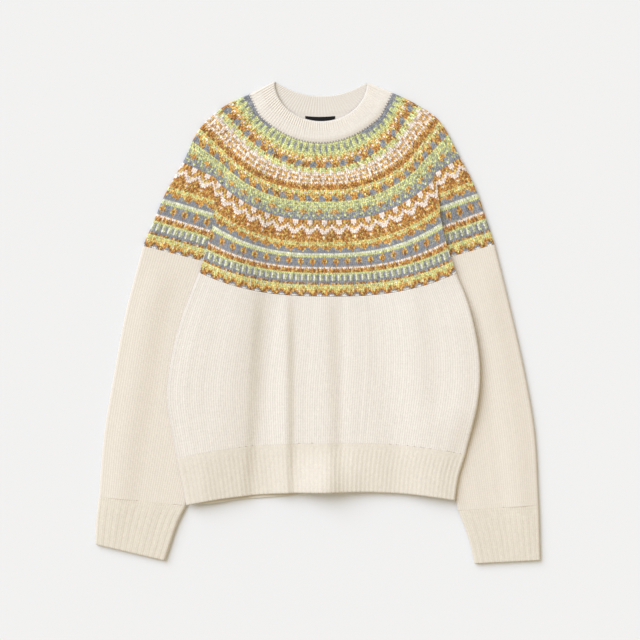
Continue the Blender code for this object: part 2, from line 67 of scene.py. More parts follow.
# Crowns of the upper walls, and the eases by which each form comes in
BODY_CROWN = 1.0
SLEEVE_CROWN = 2.2
NECK_CROWN = 1.6
YOKE_CROWN = 0.8
MAX_RISE = 5.0
CROWN_MARGIN = 26.0
SLEEVE_CROWN_SHARE = 0.48
CUFF_CROWN = 0.6
YOKE_CROWN_EASE = 4.0
NECK_CROWN_EASE = 3.0
NECK_CROWN_START = 0.25
ROW_BOW_EASE = 2.5
SLEEVE_RIM_EASE = 3.5
SLEEVE_CROWN_EASE = 5.0

# The tuck's upper layer leads the lower one, which turns up nearer the middle of the garment
TUCK_LEAD = 1.6
TUCK_EASE = 4.0
TUCK_CLEAR_SHARE = 0.25

# The tuck's foot is drawn in under its crest, more so away from the neck
OVERHANG = 3.0
OVERHANG_TOP = 215.0
OVERHANG_FALL = 60.0
CREST_POINTS = 40

# Bow of a row across the yoke and the body, the back neck's rise and the back hem's drop
ROW_BOW = 2.6
NECK_BOW = 2.1
BACK_RISE_CENTRE = 40.0
BACK_RISE_SIDE = 25.0
BACK_HEM_DROP = 4.5
DROP_END = 0.36
DROP_EASE = 9.0

# The body's right side stands off the sleeve: height, width, and from where to where
LOFT_HEIGHT = 4.4
LOFT_WIDTH = 70.0
LOFT_TOP = 62.0
LOFT_BOTTOM = -192.0
LOFT_EASE = 70.0

# The front's hem gapes a little in the middle: height, place and half width, share where it starts
MOUTH_HEIGHT = 12.5
MOUTH_X = 12.0
MOUTH_HALF_WIDTH = 42.0
MOUTH_START = 0.05

# Soft folds of the front: heights on the table between which they run, and how they come in
FOLD_TOP_Y = 60.0
FOLD_HEM_Y = -257.0
FOLD_BASE = 0.8
FOLD_EASE = 3.0
FOLD_START = 0.25

# Points along a row's master line: over a shoulder, up the tuck, across the body
ARM_POINTS = 20
TUCK_POINTS = 12
BODY_POINTS = 64
HIDDEN_POINTS = 8
NECK_POINTS = 100
LINE_POINTS = 160
ARC_ANGLES = np.radians((0.0, 18.0, 36.0, 54.0, 72.0))

# Ribs: wales of the hem, rib counts, and how far a rib stands proud
HEM_WALES = 128
CUFF_RIBS = 13
CUFF_WALES_PER_RIB = 3
NECK_RIBS_FRONT = 66
NECK_RIBS_BACK = 46
HEM_RIB_HEIGHT = 0.5
CUFF_RIB_HEIGHT = 0.4
NECK_RIB_HEIGHT = 0.5
UNDERSIDE_RIB_SHARE = 0.6
EDGE_ROUNDING = 1.3
INSIDE_RIB_EASE = 6.0

# Stitch relief: half the height from groove to crest between rows and between wales
ROW_RELIEF = 0.08
WALE_RELIEF = 0.32
UNDERSIDE_RELIEF = 0.5

# Depth that keeps its painted shade while a tier's contrast of painted shade and painted highlight grows,
# and the depth that sets the painted shade at a joined end
MID_DEPTH = 0.45
JOIN_DEPTH = 0.6

# Depth of the inside, which sets the painted shade there: its plain part, the share of a stitch's crest in
# the neck's inner rib, and the drop that darkens the inner rib
INSIDE_DEPTH = 0.6
INSIDE_CREST_SHARE = 0.4
INSIDE_RIB_DROP = 0.9

# Half wales over which a lit fold's bright edge is toned down with painted shade
FOLD_SHADE_COLUMNS = 5.0

# Edges sharper than this stay crisp, so that a join's hidden rim doesn't tint the stitches beside it
SHARP_ANGLE = 80.0

# Uneven tone of whole wales, single stitches and the flecks within a stitch, about the middle tone
MID_TONE = 0.5
WALE_SPREAD = 0.10
STITCH_SPREAD = 0.09
FLECK_SPREAD = 0.24

# Open edge of the neckband: its two corners and how low it hangs at the front and the back
NECK_TOP_A = (-62, 349)
NECK_TOP_B = (71, 348)
NECK_TOP_FRONT_Y = 291
NECK_TOP_BACK_Y = 328

# Label: shares of the back neck's seam between which it lies, and its drop, depth and thickness
LABEL_SHARE_FROM = 0.396
LABEL_SHARE_TO = 0.587
LABEL_DROP = 1.2
LABEL_DEPTH = 8.0
LABEL_THICK = 0.7
LABEL_EDGE = 0.15
LABEL_SQUARENESS = 6


class YokeRow(NamedTuple):
    """One yoke row: shoulder fold, foot and crest of the tuck on each side, and its middle."""

    share: float
    shoulder_a: tuple
    foot_a: tuple
    crest_a: tuple
    centre_y: float
    crest_b: tuple
    foot_b: tuple
    shoulder_b: tuple


class BodyRow(NamedTuple):
    """One body row: both side folds and how far the middle bows up."""

    share: float
    side_a: tuple
    side_b: tuple
    bow: float


class SleeveRow(NamedTuple):
    """One sleeve row: the outer fold, which shows, and the inner one, which is hidden."""

    share: float
    outer: tuple
    inner: tuple


class Fold(NamedTuple):
    """Soft fold of the front: x at the yoke and at the hem, height, half widths left and right."""

    x_top: float
    x_hem: float
    height: float
    left: float
    right: float


YOKE_ROWS = (
    YokeRow(0.000, (-100, 330), (-87, 303), (-82, 296), 259, (91, 297), (96, 306), (109, 332)),
    YokeRow(0.125, (-132, 315), (-101, 278), (-95, 272), 231, (102, 270), (108, 277), (135, 320)),
    YokeRow(0.283, (-168, 284), (-124, 242), (-118, 236), 195, (126, 235), (132, 241), (173, 295)),
    YokeRow(0.490, (-194, 234), (-148, 212), (-142, 204), 150, (164, 206), (169, 218), (205, 241)),
    YokeRow(0.737, (-226, 175), (-158, 152), (-153, 136), 96, (180, 139), (185, 161), (233, 182)),
    YokeRow(0.812, (-233, 157), (-162, 132), (-158, 116), 80, (185, 117), (190, 138), (240, 161)),
    YokeRow(1.000, (-253, 111), (-176, 88), (-171, 72), 38, (200, 71), (205, 94), (256, 113)),
)
BODY_ROWS = (
    BodyRow(0.00, (-171, 72), (200, 71), -34),
    BodyRow(0.17, (-186, 34), (215, 34), -24),
    BodyRow(0.38, (-203, -17), (229, -22), -8),
    BodyRow(0.58, (-214, -69), (234, -70), 4),
    BodyRow(0.76, (-217, -112), (231, -113), 12),
    BodyRow(1.00, (-203, -196), (213, -191), 19),
)
HEM_ROWS = (
    BodyRow(0.00, (-203, -196), (213, -191), 19),
    BodyRow(0.50, (-195, -230), (203, -224), 17),
    BodyRow(1.00, (-189, -264), (198, -257), 15),
)
SLEEVE_A_ROWS = (
    SleeveRow(0.00, (-253, 111), (-133, 56)),
    SleeveRow(0.27, (-278, 15), (-146, -17)),
    SleeveRow(0.53, (-296, -80), (-158, -109)),
    SleeveRow(0.75, (-309, -159), (-170, -185)),
    SleeveRow(1.00, (-317, -252), (-190, -265)),
)
SLEEVE_B_ROWS = (
    SleeveRow(0.00, (256, 113), (154, 56)),
    SleeveRow(0.27, (280, 15), (163, -20)),
    SleeveRow(0.53, (301, -80), (173, -112)),
    SleeveRow(0.75, (314, -159), (185, -185)),
    SleeveRow(1.00, (320, -264), (203, -272)),
)
CUFF_A_ROWS = (
    SleeveRow(0.0, (-317, -252), (-190, -265)),
    SleeveRow(0.4, (-320, -283), (-202, -289)),
    SleeveRow(1.0, (-322, -321), (-221, -345)),
)
CUFF_B_ROWS = (
    SleeveRow(0.0, (320, -264), (203, -272)),
    SleeveRow(0.4, (321, -304), (216, -306)),
    SleeveRow(1.0, (322, -344), (227, -349)),
)
FRONT_FOLDS = (
    Fold(-94, -112, 2.7, 34, 13),
    Fold(-72, -90, -1.3, 13, 24),
    Fold(-46, -45, 2.6, 16, 7),
    Fold(-31, -32, -1.1, 7, 30),
    Fold(10, 15, 2.0, 24, 14),
    Fold(32, 36, -1.4, 12, 10),
    Fold(70, 86, 0.7, 22, 22),
    Fold(132, 150, 0.8, 20, 20),
)


class Yarn(Enum):
    """Yarn colours, as sRGB, by the letter that stands for each in the charts."""

    CREAM = ("c", "#EEE6D9")
    SLATE = ("s", "#909298")
    LIME = ("l", "#D7DE9A")
    YELLOW = ("y", "#E6D783")
    GOLD = ("g", "#DBAB59")
    RUST = ("r", "#C2803D")
    DARK_RUST = ("d", "#8C602D")
    WHITE = ("w", "#F7E7D8")
    SAGE = ("a", "#AEAF8C")
    PALE_LIME = ("p", "#E4E4C6")
    TAN = ("t", "#DDB88C")
    HAZE = ("h", "#AAA49F")

    @property
    def letter(self) -> str:
        """Letter of this yarn in a chart."""
        return self.value[0]

    @property
    def colour(self) -> str:
        """Colour as sRGB hex."""
        return self.value[1]


YARNS = list(Yarn)
YARN_INDEX = {yarn.letter: index for index, yarn in enumerate(YARNS)}

# Marled strands: each yarn now and then shows another, by share of its stitches
MARLS = {
    "r": (("g", 0.22), ("d", 0.20)),
    "d": (("r", 0.24), ("g", 0.08)),
    "g": (("y", 0.20), ("r", 0.16), ("d", 0.06)),
    "y": (("l", 0.20), ("g", 0.18), ("w", 0.06)),
    "l": (("y", 0.14), ("a", 0.10)),
    "a": (("l", 0.14), ("s", 0.08)),
    "s": (("a", 0.06),),
    "t": (("g", 0.20), ("r", 0.14), ("w", 0.12)),
}


class Tier(NamedTuple):
    """Rows knitted on one count of stitches, from fold to fold, with their chart.

    The chart's lines go from the neck down, and each repeats along its row. A tier's contrast is how much
    deeper than in plain knitting the painted shade in the gaps between the stitches is; it also paints a
    highlight on their crests and spreads their tone. An overlay is a row, the share of the row where it
    starts and ends, and its yarn."""

    stitches: int
    rows: int
    chart: tuple = ("c",)
    stitch_contrast: float = 1.0
    overlays: tuple = ()


YOKE_TIERS = (
    Tier(128, 15, (
        "llla", "llas", "llas", "llas", "llla",
        "lyll", "yglyyglg", "gywgyrgy",
        "gwtggtwg", "grgssgrg", "rrssssrd", "dgsssgdr",
        "llrlllgl", "llylwlyl", "wltlwwyl",
    ), 1.9, ((0, 0.0, 0.22, "s"), (0, 0.72, 1.0, "s"), (1, 0.74, 1.0, "s"), (1, 0.0, 0.12, "s"))),
    Tier(138, 24, (
        "wwwtww", "tgtwtg", "wwtwwt", "gtgwrt", "wtwwgw", "grtgtr",
        "rdrgrd", "drrdgr",
        "yglyyg", "wylgyl",
        "gyrgyg", "gssgrg", "rsssgr", "dsssrg",
        "llylll", "alalla", "lllyll", "aalala",
        "lalggal", "saggrga", "sasgssa",
        "slasasa", "ssassls", "s",
    ), 1.7),
    Tier(176, 17, (
        "wwrgrgrw", "wwrgdgrw", "wrgrwrgr",
        "rggwwwgg", "gwwwrwww", "wwwrgrww", "wwrgrdrw", "rrrdgrdr",
        "wgrgrdrg", "grdrrgrd", "rgrrdgrg",
        "yglgyygl", "ylyggyly",
        "grgggr", "rgssgr", "gsssss", "s",
    ), 1.3),
    Tier(195, 22, (
        "p", "l",
        "ssgsss", "sgrgss", "sgdgss", "ssrsss", "s",
        "wwt",
        "grrdtr", "rdrdgg",
        "l", "pas", "pas", "pas", "sss",
        "rtdrds",
        "yylyylyyylyl", "lyyygllyyyyl", "gyygyggyyyrg",
        "dgyrgdrgygdg", "sdrgdssdgdrs", "chdrhcchddhc",
    ), 1.3),
)
BODY_TIERS = (Tier(132, 80),)
HEM_TIERS = (Tier(HEM_WALES, 20),)
SLEEVE_TIERS = (Tier(41, 112),)
CUFF_TIERS = (Tier(CUFF_RIBS * CUFF_WALES_PER_RIB, 24),)
NECK_TIERS = (Tier(2 * NECK_RIBS_FRONT, 12, ("c",) * 11 + ("hc",)),)


# Places of the points in the numbers of a yoke row, and of the middle's height
SHOULDER_A, FOOT_A, CREST_A = slice(1, 3), slice(3, 5), slice(5, 7)
CENTRE_Y = 7
CREST_B, FOOT_B, SHOULDER_B = slice(8, 10), slice(10, 12), slice(12, 14)


def smoothstep(value):
    """Ease from 0 to 1 while the value goes from 0 to 1.

    Args:
        value: A number or an array.

    Returns:
        The eased value, of the same shape.
    """
    value = np.clip(value, 0.0, 1.0)
    return value * value * (3.0 - 2.0 * value)


def unit(vectors: np.ndarray) -> np.ndarray:
    """Vectors at length 1, along the last axis."""
    return vectors / np.maximum(np.linalg.norm(vectors, axis=-1, keepdims=True), 1e-9)


def between_rows(rows: tuple, share: float) -> np.ndarray:
    """Smooth curve through the rows of a table, read at a share of its length.

    Args:
        rows: Table rows whose first column is the share.
        share: Where to read, from 0 to 1.

    Returns:
        Every number of the row there, the share first.
    """
    table = np.array([np.hstack([np.atleast_1d(item) for item in row]) for row in rows], dtype=float)
    keys = table[:, 0]
    slopes = np.gradient(table, keys, axis=0)
    low = int(np.clip(np.searchsorted(keys, share) - 1, 0, len(keys) - 2))
    span = keys[low + 1] - keys[low]
    t = (share - keys[low]) / span
    return ((1 + 2 * t) * (1 - t) ** 2 * table[low] + t * (1 - t) ** 2 * span * slopes[low]
            + t * t * (3 - 2 * t) * table[low + 1] + t * t * (t - 1) * span * slopes[low + 1])


def sleeve_inner_x(y: np.ndarray, rows: tuple) -> np.ndarray:
    """X of a sleeve's hidden inner fold at heights y on the table."""
    inner_x, inner_y = np.array([row.inner for row in rows][::-1]).T
    return np.interp(y, inner_y, inner_x)


def lift(points: np.ndarray) -> np.ndarray:
    """Height by which a sleeve raises the layers that lie on it, at plan points."""
    x, y = points[..., 0], points[..., 1]
    past_a = x - sleeve_inner_x(y, SLEEVE_A_ROWS) - LIFT_MARGIN
    past_b = sleeve_inner_x(y, SLEEVE_B_ROWS) - LIFT_MARGIN - x
    across = 1.0 - smoothstep(np.minimum(past_a, past_b) / LIFT_FALL)
    along = smoothstep((LIFT_TOP - y) / (LIFT_TOP - LIFT_FULL))
    return BODY_LIFT * across * along


def bowed(start, end, depth_y: float, bow: float, count: int) -> np.ndarray:
    """Points of a row that hangs from its two ends to a lowest or highest point."""
    share = np.linspace(0.0, 1.0, count + 1)
    level = start[1] + (end[1] - start[1]) * share
    middle = (start[1] + end[1]) / 2.0
    depth = (depth_y - middle) * (1.0 - np.abs(2.0 * share - 1.0) ** bow)
    return np.stack([start[0] + (end[0] - start[0]) * share, level + depth], axis=1)


def half_ellipse(start, end, depth_y: float, count: int) -> np.ndarray:
    """Half an ellipse that hangs from two corners."""
    angle = np.linspace(0.0, math.pi, count + 1)
    share = (1.0 - np.cos(angle)) / 2.0
    level = start[1] + (end[1] - start[1]) * share
    middle = (start[1] + end[1]) / 2.0
    return np.stack([start[0] + (end[0] - start[0]) * share,
                     level + (depth_y - middle) * np.sin(angle)], axis=1)


def lengths_along(points: np.ndarray) -> np.ndarray:
    """Distance of each point from the first, along the line."""
    return np.concatenate([[0.0], np.cumsum(np.linalg.norm(np.diff(points, axis=0), axis=1))])


def read_line(points: np.ndarray, lengths: np.ndarray, at: np.ndarray) -> np.ndarray:
    """Points of a line, read at given distances along it."""
    return np.stack([np.interp(at, lengths, points[:, axis]) for axis in range(points.shape[1])], axis=1)


def crest_line(place: slice, below: tuple) -> np.ndarray:
    """Crest of one tuck, from a point on the body's side fold up to the neck.

    Args:
        place: Where the crest's numbers are in a yoke row.
        below: Plan point on the body's side, below the yoke.

    Returns:
        Plan points, the lowest first.
    """
    shares = np.linspace(0.0, 1.0, CREST_POINTS)
    return np.array([between_rows(YOKE_ROWS, float(share))[place] for share in shares] + [below])[::-1]


CREST_LINE_A = crest_line(CREST_A, BODY_ROWS[1].side_a)
CREST_LINE_B = crest_line(CREST_B, BODY_ROWS[1].side_b)


def under_crest(foot: np.ndarray, crest: np.ndarray, inwards: float) -> np.ndarray:
    """Foot of the tuck drawn in under the crest above it, where a sleeve lifts the body.

    Args:
        foot: Plan point of the foot.
        crest: Plan points of the crest.
        inwards: Sign of X towards the middle of the garment.

    Returns:
        The foot's new place.
    """
    wanted = np.interp(foot[1], crest[:, 1], crest[:, 0]) + inwards * OVERHANG
    fade = float(smoothstep((OVERHANG_TOP - foot[1]) / OVERHANG_FALL))
    return np.array([foot[0] + (wanted - foot[0]) * fade, foot[1]])


def climb(start: np.ndarray, end: np.ndarray, count: int, climb_from: float,
          climb_to: float) -> np.ndarray:
    """Straight run of plan points short of its end, with how far each lies up the tuck."""
    part = np.arange(count)[:, None] / count
    return np.hstack([start + (end - start) * part, climb_from + (climb_to - climb_from) * part])


def yoke_line(share: float, back: bool) -> np.ndarray:
    """Plan points of one yoke row, with how far each lies up the tuck in a third column."""
    numbers = between_rows(YOKE_ROWS, share)
    left = 1.0 - share if back else 0.0
    up = np.array([0.0, BACK_RISE_SIDE * left])
    shoulder_a, shoulder_b = numbers[SHOULDER_A], numbers[SHOULDER_B]
    foot_a, crest_a, crest_b, foot_b = (numbers[place] + up for place in (FOOT_A, CREST_A, CREST_B, FOOT_B))
    if not back:
        foot_a = under_crest(foot_a, CREST_LINE_A, 1.0)
        foot_b = under_crest(foot_b, CREST_LINE_B, -1.0)
    bow = NECK_BOW + (ROW_BOW - NECK_BOW) * float(smoothstep(share * ROW_BOW_EASE))
    centre_y = numbers[CENTRE_Y] + BACK_RISE_CENTRE * left
    middle = bowed(crest_a, crest_b, centre_y, bow, BODY_POINTS)[:-1]
    return np.vstack([
        climb(shoulder_a, foot_a, ARM_POINTS, 0.0, 0.0),
        climb(foot_a, crest_a, TUCK_POINTS, 0.0, 1.0),
        np.hstack([middle, np.ones((BODY_POINTS, 1))]),
        climb(crest_b, foot_b, TUCK_POINTS, 1.0, 0.0),
        climb(foot_b, shoulder_b, ARM_POINTS, 0.0, 0.0),
        np.array([[*shoulder_b, 0.0]]),
    ])


def loft(points: np.ndarray) -> np.ndarray:
    """How far the body's right side stands off the sleeve that it lies on, at plan points."""
    x, y = points[..., 0], points[..., 1]
    side_x, side_y = np.array([row.side_b for row in BODY_ROWS][::-1]).T
    near = smoothstep(1.0 - (np.interp(y, side_y, side_x) - x) / LOFT_WIDTH)
    along = smoothstep((LOFT_TOP - y) / LOFT_EASE) * smoothstep((y - LOFT_BOTTOM) / LOFT_EASE)
    return LOFT_HEIGHT * near * along


class Section(NamedTuple):
    """Lines across one half of a flattened tube, from its first fold to its second."""

    outer: np.ndarray
    inner: np.ndarray


def inside_folds(line: np.ndarray) -> np.ndarray:
    """Even points along a line, short of both side folds by their radius."""
    lengths = lengths_along(line[:, :2])
    return read_line(line, lengths, np.linspace(EDGE_RADIUS, lengths[-1] - EDGE_RADIUS, LINE_POINTS))


def crown(distance: np.ndarray, height) -> np.ndarray:
    """Rise of the upper wall, 0 at both folds and full a margin away from them."""
    return height * smoothstep(np.minimum(distance, distance[-1] - distance) / CROWN_MARGIN)


def wrap_round(whole: np.ndarray, line: np.ndarray, outer_z: np.ndarray, inner_z: np.ndarray,
               upper: bool, bases=(0.0, 0.0)) -> Section:
    """One half of a tube's section, carried round to the middle of both side folds.

    Args:
        whole: Plan points from fold to fold.
        line: Plan points between the folds.
        outer_z: Height of the outer surface at each point.
        inner_z: Height of the inner surface at each point.
        upper: Whether this is the half that faces up.
        bases: Height on which each fold lies.

    Returns:
        The outer and inner line in space.
    """
    sign = 1.0 if upper else -1.0
    outer, inner = [], []
    for end, near, base in zip(whole[[0, -1], :2], line[[0, -1], :2], bases):
        inward = unit(near - end)
        middle = base + STACK / 2.0
        for part, inset, half in ((outer, EDGE_RADIUS * (1.0 - np.cos(ARC_ANGLES)), EDGE_RADIUS),
                                  (inner, EDGE_RADIUS - SLIT * np.cos(ARC_ANGLES), SLIT)):
            part.append(np.column_stack([end + inward * inset[:, None],
                                         middle + sign * half * np.sin(ARC_ANGLES)]))
    return Section(*(np.vstack([ends[0], np.column_stack([line[:, :2], height]), ends[1][::-1]])
                     for ends, height in ((outer, outer_z), (inner, inner_z))))


class YokeForm:
    """Form of the yoke, a ring from the neck seam to the body and both sleeves."""

    def section(self, share: float, upper: bool) -> Section:
        """One half of the yoke's section at a share of its depth."""
        whole = yoke_line(share, not upper)
        line = inside_folds(whole)
        climbs = line[:, 2]
        raised = lift(line)
        if upper:
            rise = crown(lengths_along(line[:, :2]), YOKE_CROWN) \
                * smoothstep(share * YOKE_CROWN_EASE) * smoothstep((1.0 - share) * YOKE_CROWN_EASE)
            outer_z = STACK + raised * smoothstep(climbs * TUCK_LEAD) + rise
            inner_z = STACK - WALL + raised * smoothstep(climbs * TUCK_LEAD - (TUCK_LEAD - 1.0)) + rise
        else:
            outer_z = raised * smoothstep(climbs)
            inner_z = WALL + outer_z
            line = self.set_inward(line, climbs, raised)
        return wrap_round(whole, line, outer_z, inner_z, upper)

    @staticmethod
    def set_inward(line: np.ndarray, climbs: np.ndarray, raised: np.ndarray) -> np.ndarray:
        """Lower layer's tuck, a stack's height nearer the middle than the upper one's."""
        inwards = line[:, 0].mean() - line[:, 0]
        on_tuck = (climbs < 1.0) & (np.abs(inwards) >= TUCK_CLEAR_SHARE * np.ptp(line[:, 0]))
        shifted = line.copy()
        shifted[:, 0] += np.sign(inwards) * STACK * smoothstep(climbs * TUCK_EASE) * on_tuck \
            * raised / BODY_LIFT
        return shifted


class NeckbandForm:
    """Form of the ribbed neckband, from its open edge down to the yoke's seam."""

    def section(self, share: float, upper: bool) -> Section:
        """One half of the neckband's section at a share from its open edge to the seam."""
        seam = yoke_line(0.0, not upper)[:, :2]
        if upper:
            edge = half_ellipse(NECK_TOP_A, NECK_TOP_B, NECK_TOP_FRONT_Y, NECK_POINTS)
        else:
            edge = bowed(NECK_TOP_A, NECK_TOP_B, NECK_TOP_BACK_Y, NECK_BOW, NECK_POINTS)
        seam_lengths, edge_lengths = lengths_along(seam), lengths_along(edge)
        matched = read_line(edge, edge_lengths, seam_lengths / seam_lengths[-1] * edge_lengths[-1])
        whole = seam * share + matched * (1.0 - share)
        line = inside_folds(whole)
        if upper:
            ease = smoothstep((1.0 - share) * NECK_CROWN_EASE + NECK_CROWN_START)
            rise = crown(lengths_along(line), NECK_CROWN) * ease
            return wrap_round(whole, line, STACK + rise, STACK - WALL + rise, upper)
        level = np.zeros(len(line))
        return wrap_round(whole, line, level, level + WALL, upper)


class BodyForm:
    """Form of the body's front and back, or of their hem rib."""

    def __init__(self, rows: tuple, drop: float = 0.0, mouth: bool = False):
        self.rows = rows
        self.drop = drop
        self.mouth = mouth

    def section(self, share: float, upper: bool) -> Section:
        """One half of the body's section at a share of its length."""
        numbers = between_rows(self.rows, share)
        side_a, side_b = numbers[1:3], numbers[3:5]
        depth_y = (side_a[1] + side_b[1]) / 2.0 + numbers[5]
        whole = bowed(side_a, side_b, depth_y, ROW_BOW, BODY_POINTS)
        if self.drop and not upper:
            across = (whole[:, 0] - side_a[0]) / (side_b[0] - side_a[0])
            whole[:, 1] -= self.drop * share * (
                smoothstep(across * DROP_EASE) - smoothstep((across - DROP_END) * DROP_EASE))
        line = inside_folds(whole)
        base = lift(line) + loft(line)
        bases = base[[0, -1]]
        if upper:
            rise = np.clip(crown(lengths_along(line), BODY_CROWN + self.fold_rise(line)), 0.0, MAX_RISE)
            if self.mouth:
                rise = rise + MOUTH_HEIGHT * smoothstep((share - MOUTH_START) / (1.0 - MOUTH_START)) \
                    * np.exp(-((line[:, 0] - MOUTH_X) / MOUTH_HALF_WIDTH) ** 2)
            top = base + STACK + rise
            return wrap_round(whole, line, top, top - WALL, upper, bases)
        return wrap_round(whole, line, base, base + WALL, upper, bases)

    @staticmethod
    def fold_rise(line: np.ndarray) -> np.ndarray:
        """Rise of the front over its crown, ridges less troughs."""
        along = (FOLD_TOP_Y - line[:, 1]) / (FOLD_TOP_Y - FOLD_HEM_Y)
        total = np.zeros(len(line))
        for fold in FRONT_FOLDS:
            centre = fold.x_top + (fold.x_hem - fold.x_top) * along
            offset = line[:, 0] - centre
            total += fold.height * np.exp(-(offset / np.where(offset < 0.0, fold.left, fold.right)) ** 2)
        return (FOLD_BASE + total) * smoothstep(along * FOLD_EASE + FOLD_START)


class SleeveForm:
    """Form of a sleeve or of its cuff."""

    def __init__(self, rows: tuple, side: int, cuff: bool = False):
        self.rows = rows
        self.cuff = cuff
        rim = yoke_line(1.0, False)[:, :2]
        rim = rim if side < 0 else rim[::-1]
        hidden = rim[ARM_POINTS + TUCK_POINTS + HIDDEN_POINTS]
        part = np.linspace(0.0, 1.0, HIDDEN_POINTS + 1)[:, None]
        self.rim = np.vstack([rim[:ARM_POINTS], rim[ARM_POINTS] + (hidden - rim[ARM_POINTS]) * part])
        lengths = lengths_along(self.rim)
        self.rim_shares = (lengths / lengths[-1])[:, None]

    def chord(self, share: float) -> np.ndarray:
        """Plan points from the outer to the inner fold at a share of the length."""
        numbers = between_rows(self.rows, share)
        line = numbers[1:3] + (numbers[3:5] - numbers[1:3]) * self.rim_shares
        if self.cuff:
            return line
        first = between_rows(self.rows, 0.0)
        start = first[1:3] + (first[3:5] - first[1:3]) * self.rim_shares
        return line + (self.rim - start) * (1.0 - smoothstep(share * SLEEVE_RIM_EASE))

    def section(self, share: float, upper: bool) -> Section:
        """One half of the sleeve's section at a share of its length."""
        whole = self.chord(share)
        line = inside_folds(whole)
        if not upper:
            level = np.zeros(len(line))
            return wrap_round(whole, line, level, level + WALL, upper)
        width = np.linalg.norm(whole[-1] - whole[0])
        across = np.linalg.norm(line - whole[0], axis=1) / width
        puff = np.sin(math.pi * np.minimum(across / SLEEVE_CROWN_SHARE, 1.0)) ** 2
        fade = (1.0 - share) * CUFF_CROWN if self.cuff else float(smoothstep(share * SLEEVE_CROWN_EASE))
        top = STACK + SLEEVE_CROWN * puff * fade
        return wrap_round(whole, line, top, top - WALL, upper)


class Patch(NamedTuple):
    """Rectangle of the bake's UV map: left, bottom, right, top."""

    left: float
    bottom: float
    right: float
    top: float

    def place(self, across, along) -> np.ndarray:
        """UV of points at shares across and along the patch."""
        return np.stack([self.left + (self.right - self.left) * across,
                         self.top - (self.top - self.bottom) * along], axis=-1)


UPPER_PATCH = Patch(0.01, 0.44, 0.99, 0.99)
LOWER_PATCH = Patch(0.01, 0.18, 0.99, 0.42)
INNER_UPPER_PATCH = Patch(0.01, 0.05, 0.48, 0.16)
INNER_LOWER_PATCH = Patch(0.52, 0.05, 0.99, 0.16)
RIM_PATCH = Patch(0.01, 0.01, 0.99, 0.035)


class Line(NamedTuple):
    """A row of mesh points: their indices and their shares along the row."""

    index: np.ndarray
    share: np.ndarray


class Coat(NamedTuple):
    """What a face takes from its stitch: yarn index and tone, one number a stitch."""

    yarn: np.ndarray
    tone: np.ndarray


def cream(share: float) -> int:
    """Yarn index of a plain cream line, wherever along it."""
    return YARN_INDEX["c"]


def quads(grid: np.ndarray) -> np.ndarray:
    """The four corners of every quad of a grid, in order."""
    return np.stack([grid[:-1, :-1], grid[1:, :-1], grid[1:, 1:], grid[:-1, 1:]], axis=2)


def pairs(across: np.ndarray, along: np.ndarray) -> np.ndarray:
    """Grid of coordinates from a line across and a line along."""
    return np.stack(np.broadcast_arrays(across[None, :], along[:, None]), axis=-1)


